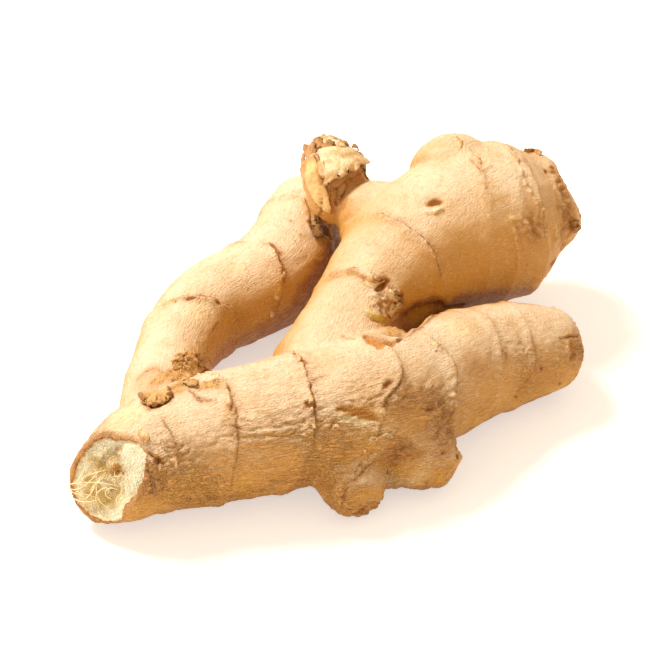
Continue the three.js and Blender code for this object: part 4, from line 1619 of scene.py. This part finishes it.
SHREDS = [
    (104, 14.5, 4.6, 5.0, -0.2), (138, 13.5, 6.2, 5.0, -0.1), (60, 13.0, 2.8, 4.4, -0.5),
    (20, 12.0, 2.8, 4.6, -0.5), (172, 13.0, 6.0, 4.6, -0.1), (215, 12.5, 5.0, 5.0, -0.25),
    (255, 12.5, 4.2, 5.2, -0.35), (300, 12.5, 4.2, 5.0, -0.35), (340, 12.5, 3.0, 4.6, -0.45),
    (124, 17.0, 4.8, 4.0, 0.0), (75, 15.0, 2.4, 3.4, -0.4), (155, 16.5, 5.0, 4.0, 0.1),
    (190, 16.0, 4.4, 3.6, 0.05), (150, 18.0, 4.0, 3.4, -0.3), (110, 17.0, 3.2, 3.0, -0.3),
    (10, 15.5, 2.4, 4.2, -0.4), (70, 16.0, 2.0, 3.8, -0.4), (200, 18.5, 4.6, 4.4, -0.5),
    (250, 18.0, 5.0, 4.6, -0.5), (310, 17.0, 3.4, 4.6, -0.5), (40, 16.0, 2.2, 3.6, -0.4),
    (160, 20.5, 4.2, 3.6, -0.7), (280, 19.5, 4.0, 3.8, -0.7),
]
SHRED_SINK = 0.2


def lay_scales(rows, tree, seed, seed_step, **shared):
    """A scale for each row, made with the settings that all of them share and the row's own."""
    made = []
    for k, (name, paper, root, free, settings) in enumerate(rows):
        flap = scale_between(name, tree, seen(*root), seen(*free), seed=seed + seed_step * k,
                             **shared, **settings)
        flap.data.materials.append(PAPERS[paper])
        made.append(flap)
    return made


def side_scales(tree):
    made = []
    for k, (name, paper, along, around) in enumerate(SIDE_SCALES):
        flap = scale_flap(name, tree, BUD, along, around, (0.2, 0.7), torn=0.6, thick=0.35, seed=350 + 11 * k)
        flap.data.materials.append(PAPERS[paper])
        made.append(flap)
    return made


def tip_shreds():
    strips = []
    for k, (angle, s, length, width, lean) in enumerate(SHREDS):
        centre, growth, side, up, radius = (value[0] for value in BUD.at(np.array([s])))
        out = side * math.cos(math.radians(angle)) + up * math.sin(math.radians(angle))
        base = centre + out * (radius - SHRED_SINK)
        strip = shred("shred", base, out, growth, length, width, lean, seed=400 + 7 * k)
        strip.data.materials.append(PAPERS["pale" if k % 4 == 2 else "brown"])
        strips.append(strip)
    return join(strips, "bud_tip_shreds")


tree = tree_of(skin)
bud_scales = lay_scales(BUD_SCALES, tree, 300, 11, thick=0.35) + side_scales(tree) + [tip_shreds()]
print([(flap.name, len(flap.data.polygons)) for flap in bud_scales])

# %% [markdown]
# ## Scraps of old leaf
#
# A larger scrap is left in the corner between the stem and the back finger, where it dried into a thin curled
# lip, with smaller golden ones behind it. Others stand where the crown's neck broke through its last leaf,
# over the slit and a ring of the stem, round the holes under the bud, at the edge of the broken end and at
# the end of the crown. They are made as the bud's scales are, each from a row of its own.

# %% Scraps in the corners
SCRAPS = [
    ("corner_scrap", "gold", [(144, 393), (151, 393), (160, 392), (169, 388)],
     [(141, 401), (150, 405.5), (162, 405), (174, 396)],
     {"lift": (0.0, 1.4), "thick": 0.9, "torn": 0.0, "crumple": 0.25}),
    ("neck_scrap_1", "pale", [(362, 284), (369, 287), (376, 290)],
     [(361, 274), (370, 276), (379, 281), (387, 279)],
     {"lift": (-0.1, 0.7), "torn": 0.5}),
    ("neck_scrap_2", "pale", [(384, 294), (388, 300), (392, 306)],
     [(390, 284), (396, 292), (404, 299)],
     {"lift": (-0.3, 1.1), "torn": 0.12, "thick": 0.5}),
    ("neck_scrap_3", "pale", [(385, 314), (389, 308), (394, 303)],
     [(390, 320), (396, 312), (403, 302)],
     {"lift": (-0.2, 0.7), "torn": 0.3, "thick": 0.5}),
    ("slit_scrap", "pale", [(329, 425), (334, 424), (340, 424)],
     [(329, 428), (334, 430), (340, 427)],
     {"lift": (0.2, 1.3), "torn": 0.3}),
    ("small_scrap", "pale", [(425, 424), (428, 424)],
     [(425, 429), (428, 428)],
     {"lift": (0.1, 0.9), "torn": 0.2}),
    ("ring_scrap", "pale", [(366, 434), (376, 437), (386, 432), (395, 434)],
     [(365, 440), (376, 444), (386, 437), (396, 439)],
     {"lift": (0.0, 0.7), "torn": 0.9}),
    ("hole_scrap_1", "dark", [(309, 229), (315, 227), (322, 226)],
     [(310, 237), (317, 242), (324, 240)],
     {"lift": (0.4, 1.3), "torn": 0.7, "thick": 0.5}),
    ("hole_scrap_2", "dark", [(310, 216), (315, 215), (322, 216)],
     [(312, 223), (317, 223), (322, 221)],
     {"lift": (0.2, 1.0), "torn": 0.8, "thick": 0.5}),
    ("break_fold", "pale", [(139, 430), (147, 433), (151, 441)],
     [(137, 438), (143, 443), (148, 447)],
     {"lift": (0.2, 1.4), "torn": 0.15, "thick": 0.6}),
    ("break_flap", "brown", [(150, 458), (157, 470), (160, 482), (158, 494)],
     [(146, 460), (147, 471), (149, 480), (150, 492)],
     {"lift": (0.0, 1.2), "torn": 0.5, "thick": 0.5}),
    ("corner_scrap_2", "gold", [(180, 379), (190, 381), (200, 380)],
     [(183, 388), (193, 391), (204, 388)],
     {"lift": (0.2, 1.0), "torn": 0.8}),
    ("corner_scrap_3", "gold", [(196, 366), (205, 368), (210, 372)],
     [(194, 357), (203, 358), (209, 364)],
     {"lift": (0.3, 1.4), "torn": 0.7}),
    ("corner_scrap_4", "gold", [(172, 372), (180, 369), (186, 366)],
     [(170, 364), (179, 358), (187, 358)],
     {"lift": (0.1, 0.9), "torn": 0.8}),
    ("crown_scrap", "gold", [(524, 149), (532, 152), (540, 157)],
     [(526, 146), (535, 148.5), (543, 154)],
     {"lift": (0.0, 1.4), "torn": 0.3}),
]
scraps = lay_scales(SCRAPS, tree, 500, 13, detail=0.35)
print(len(scraps), "scraps")

# %% [markdown]
# The crown ends in a small dried nub, a ring of short brown shreds that lean in over it. Each has its angle
# round the nub, its length and its width in mm.

# %% The crown's nub
NUB = seen((572, 227))[0]
NUB_GROWTH = np.array([0.94, 0.1, 0.33])
NUB_RADIUS, NUB_LEAN, NUB_THICK = 1.3, -0.35, 0.4
NUB_SHREDS = [(0, 3.0, 2.6), (70, 2.6, 2.8), (140, 3.2, 2.4), (215, 2.8, 2.8), (290, 3.0, 2.6)]


def dry_nub():
    strips = []
    side = unit(np.cross(NUB_GROWTH, [0, 0, 1]))
    up = np.cross(side, NUB_GROWTH)
    for k, (angle, length, width) in enumerate(NUB_SHREDS):
        out = side * math.cos(math.radians(angle)) + up * math.sin(math.radians(angle))
        base = np.array(NUB) + out * NUB_RADIUS
        strip = shred("shred", base, out, NUB_GROWTH, length, width, NUB_LEAN, NUB_THICK, 600 + 7 * k)
        strip.data.materials.append(PAPERS["brown"])
        strips.append(strip)
    return join(strips, "crown_nub")


nub = dry_nub()
print("a nub of", len(nub.data.polygons), "faces")

# %% [markdown]
# ## Flakes along the rings
#
# At every ring a few scraps of the old scale leaf still cling to the edge. They are short flaps of the same
# kind, set where the ring is torn, and joined into one piece.

# %% Set the ring flakes
FLAKE_LENGTH = (1.6, 6.0)
FLAKE_CHANCE = 0.4
FLAKE_ROOT, FLAKE_THICK, FLAKE_DETAIL = 1.6, 0.15, 0.28


def ring_flake(tree, line, ring, start, end, draw):
    edge = float(of_ring(ring, "ragged", math.radians((start + end) / 2)))
    spread = draw.uniform(0.3, 0.9)
    flap = scale_flap("flake", tree, line, along=(edge - FLAKE_ROOT, edge + spread), around=(start, end),
                      lift=(-0.2, draw.uniform(0.1, 0.45)), curl=0.1, thick=FLAKE_THICK, torn=1.0,
                      detail=FLAKE_DETAIL, seed=draw.randrange(1000))
    flap.data.materials.append(PAPERS["pale"])
    return flap


def ring_flakes(tree):
    draw = random.Random(8)
    flakes = []
    for name, rings in RINGS.items():
        line = LINES[name]
        for ring in rings:
            angle, end = ring["torn"]
            while angle < end:
                radius = float(np.interp(of_ring(ring, "ragged", math.radians(angle)), line.s, line.radius))
                wide = math.degrees(draw.uniform(*FLAKE_LENGTH) / radius)
                if draw.random() < FLAKE_CHANCE:
                    flakes.append(ring_flake(tree, line, ring, angle, angle + wide, draw))
                angle += wide * draw.uniform(0.7, 1.3)
    return join(flakes, "ring_flakes")


flakes = ring_flakes(tree)
print("ring flakes:", len(flakes.data.polygons), "faces")

# %% [markdown]
# ## Fibres
#
# When the root was snapped, some of its fibres were pulled out and lie over the broken face. Each one is a
# curve through a few points on the face, to the right, up and out in mm. The curve is given thickness and
# then turned into a mesh.

# %% Lay the fibres
FIBRES = [
    [(-10.0, -4.9, 0.2), (-6.6, -2.4, 0.9), (-2.9, -0.4, 1.2), (1.2, 1.3, 0.9), (4.6, 2.1, 0.1)],
    [(-10.0, -4.9, 0.2), (-6.4, -5.1, 0.6), (-3.4, -3.9, 0.7), (0.1, -3.3, 0.0)],
    [(-9.8, -4.8, 0.2), (-6.0, -1.3, 0.8), (-2.9, 1.8, 0.7), (0.5, 4.4, 0.0)],
    [(0.7, 4.0, 0.0), (-0.6, 0.7, 0.8), (-1.2, -2.3, 1.0), (-2.9, -5.3, 0.3)],
    [(-0.5, 2.6, 0.0), (-0.5, -0.4, 0.7), (1.4, -3.2, 0.8), (4.4, -4.4, 0.0)],
    [(5.8, 5.3, 0.0), (8.0, 4.7, 0.6), (8.4, 2.8, 0.7), (10.3, 1.8, 0.1)],
    [(4.3, -1.9, 0.0), (2.7, -1.0, 0.7), (3.4, 0.9, 0.7), (5.2, 1.3, 0.0)],
    [(11.4, 3.6, 0.0), (9.3, 1.0, 0.5), (6.5, -0.5, 0.1)],
    [(-5.8, -6.6, 0.2), (-2.3, -4.2, 0.9), (-1.0, -1.1, 1.0), (-1.5, 1.4, 0.0)],
    [(1.0, 3.4, 0.0), (-0.2, 1.0, 0.9), (-1.6, -1.6, 0.9), (-1.2, -4.6, 0.2)],
    [(3.0, 5.4, 0.2), (4.3, 4.4, 0.6), (5.2, 5.8, 0.1)],
    [(-9.9, -4.7, 0.2), (-7.4, -4.4, 1.1), (-4.4, -2.6, 1.4), (-2.2, 0.8, 1.0), (-0.8, 4.4, 0.2)],
    [(-9.9, -4.9, 0.1), (-7.8, -6.0, 0.8), (-4.6, -6.2, 0.9), (-1.4, -5.0, 0.7), (1.4, -3.0, 0.2)],
    [(-5.0, -6.6, 0.1), (-4.2, -3.4, 1.2), (-4.6, -0.2, 1.3), (-3.0, 2.4, 0.4)],
    [(1.6, -5.6, 0.1), (0.4, -3.0, 1.0), (1.2, -0.6, 1.2), (3.0, 0.6, 0.8), (3.4, -0.6, 0.4)],
    [(6.4, 3.4, 0.1), (7.0, 1.2, 0.8), (6.4, -0.8, 0.8), (7.2, -2.4, 0.1)],
    [(-6.6, -5.8, 0.1), (-5.6, -4.2, 0.9), (-3.4, -4.6, 1.0), (-2.4, -6.2, 0.3)],
]
FIBRE_RADIUS, THIN_END = 0.11 * MM, 0.5
FIBRE_ROUND_STEPS, FIBRE_LONG_STEPS = 2, 8
OVER_FLESH = 0.25


def lay_fibres():
    curve = bpy.data.curves.new("fibres", "CURVE")
    curve.dimensions = "3D"
    curve.bevel_depth, curve.bevel_resolution = FIBRE_RADIUS, FIBRE_ROUND_STEPS
    curve.resolution_u = FIBRE_LONG_STEPS
    curve.use_fill_caps = True
    for spots in FIBRES:
        spline = curve.splines.new("BEZIER")
        spline.bezier_points.add(len(spots) - 1)
        for point, (right, up, out) in zip(spline.bezier_points, spots):
            point.co = Vector(on_break(right, up, out - FLESH_DROP + OVER_FLESH)) * MM
            point.handle_left_type = point.handle_right_type = "AUTO"
        spline.bezier_points[0].radius = spline.bezier_points[-1].radius = THIN_END
    fibres = bpy.data.objects.new("fibres", curve)
    bpy.context.scene.collection.objects.link(fibres)
    select_only(fibres)
    bpy.ops.object.convert(target="MESH")
    bpy.ops.object.shade_smooth()
    return bpy.context.object


def fibre_finish():
    n = Nodes("fibre")
    tint = n.noise(2.0)
    colour = n.mix(n.ramp(tint, 0.35, 0.65), rgb(252, 238, 202), rgb(244, 214, 156))
    return n.finish(colour, tint, 0.3, Roughness=0.45, Subsurface_Weight=0.1, Subsurface_Scale=0.5 * MM)


fibres = lay_fibres()
fibres.data.materials.append(fibre_finish())
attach(fibres, "root")
print("fibres:", len(fibres.data.polygons), "faces")

# %% [markdown]
# ## Floor, light and camera
#
# The root lies on a plain pale light table, which glows a little and keeps the shadows light. The floor is
# set a hair below the root, so that the two don't flicker where they touch.

# %% Floor
FLOOR_SIDE, FLOOR_DROP = 3000 * MM, 0.05 * MM
FLOOR_GREY = rgb(228, 228, 228)
GLOW = {"Emission_Color": (1, 1, 1, 1), "Emission_Strength": 0.5}


def lay_floor():
    bpy.ops.mesh.primitive_plane_add(size=FLOOR_SIDE, location=(0, 0, -FLOOR_DROP))
    floor = bpy.context.object
    floor.name = "floor"
    n = Nodes("floor")
    floor.data.materials.append(n.finish(FLOOR_GREY, None, Roughness=0.85, Specular_IOR_Level=0.1, **GLOW))
    floor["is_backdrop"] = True


lay_floor()
print("the floor is", FLOOR_SIDE, "m wide")

# %% [markdown]
# One large lamp, high on the left and a little behind, shows the relief. A weak one low on the left lights
# the broken end, and a warm bright surround fills in the rest. A lamp has its place and its side in mm, and
# its power in watts.

# %% Light
LAMPS = [("key", (-400, 290, 700), 260, 8.2), ("side", (-560, -380, 70), 300, 1.1)]
SURROUND_COLOUR, SURROUND_STRENGTH = (1, 0.8, 0.52, 1), 0.78


def add_lamp(name, place_mm, side_mm, power):
    lamp = bpy.data.lights.new(name, "AREA")
    lamp.shape, lamp.size, lamp.energy = "SQUARE", side_mm * MM, power
    holder = bpy.data.objects.new(name, lamp)
    holder.location = [value * MM for value in place_mm]
    holder.rotation_euler = (-Vector(place_mm)).to_track_quat("-Z", "Y").to_euler()
    bpy.context.scene.collection.objects.link(holder)


def add_surround():
    surround = bpy.data.worlds.new("surround")
    surround.use_nodes = True
    background = surround.node_tree.nodes["Background"]
    background.inputs["Color"].default_value = SURROUND_COLOUR
    background.inputs["Strength"].default_value = SURROUND_STRENGTH
    bpy.context.scene.world = surround


for lamp in LAMPS:
    add_lamp(*lamp)
add_surround()
bpy.context.scene.view_settings.view_transform = "Standard"
print(len(LAMPS), "lamps and a surround")

# %% [markdown]
# The camera stands where the point of view was settled, and looks down at the root.

# %% Camera
def set_camera():
    camera = bpy.data.objects.new("camera", bpy.data.cameras.new("camera"))
    camera.data.lens, camera.data.sensor_width = LENS, SENSOR
    camera.location = CAMERA_PLACE
    camera.rotation_euler = (math.pi / 2 - CAMERA_RISE, 0, 0)
    bpy.context.scene.collection.objects.link(camera)
    bpy.context.scene.camera = camera


set_camera()
print("camera at", [round(value / MM) for value in CAMERA_PLACE], "mm")

# %% [markdown]
# ## The finished size
#
# The finished root must fill the same box as the imported model. Both boxes are measured, and the
# difference between them is printed.

# %% Sizes
made_box = [list(corner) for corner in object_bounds()]
growth = [round((made - packed) / MM, 2) for packed, made in zip(sum(cad_box, []), sum(made_box, []))]
print("box against the packed model, mm:", growth)
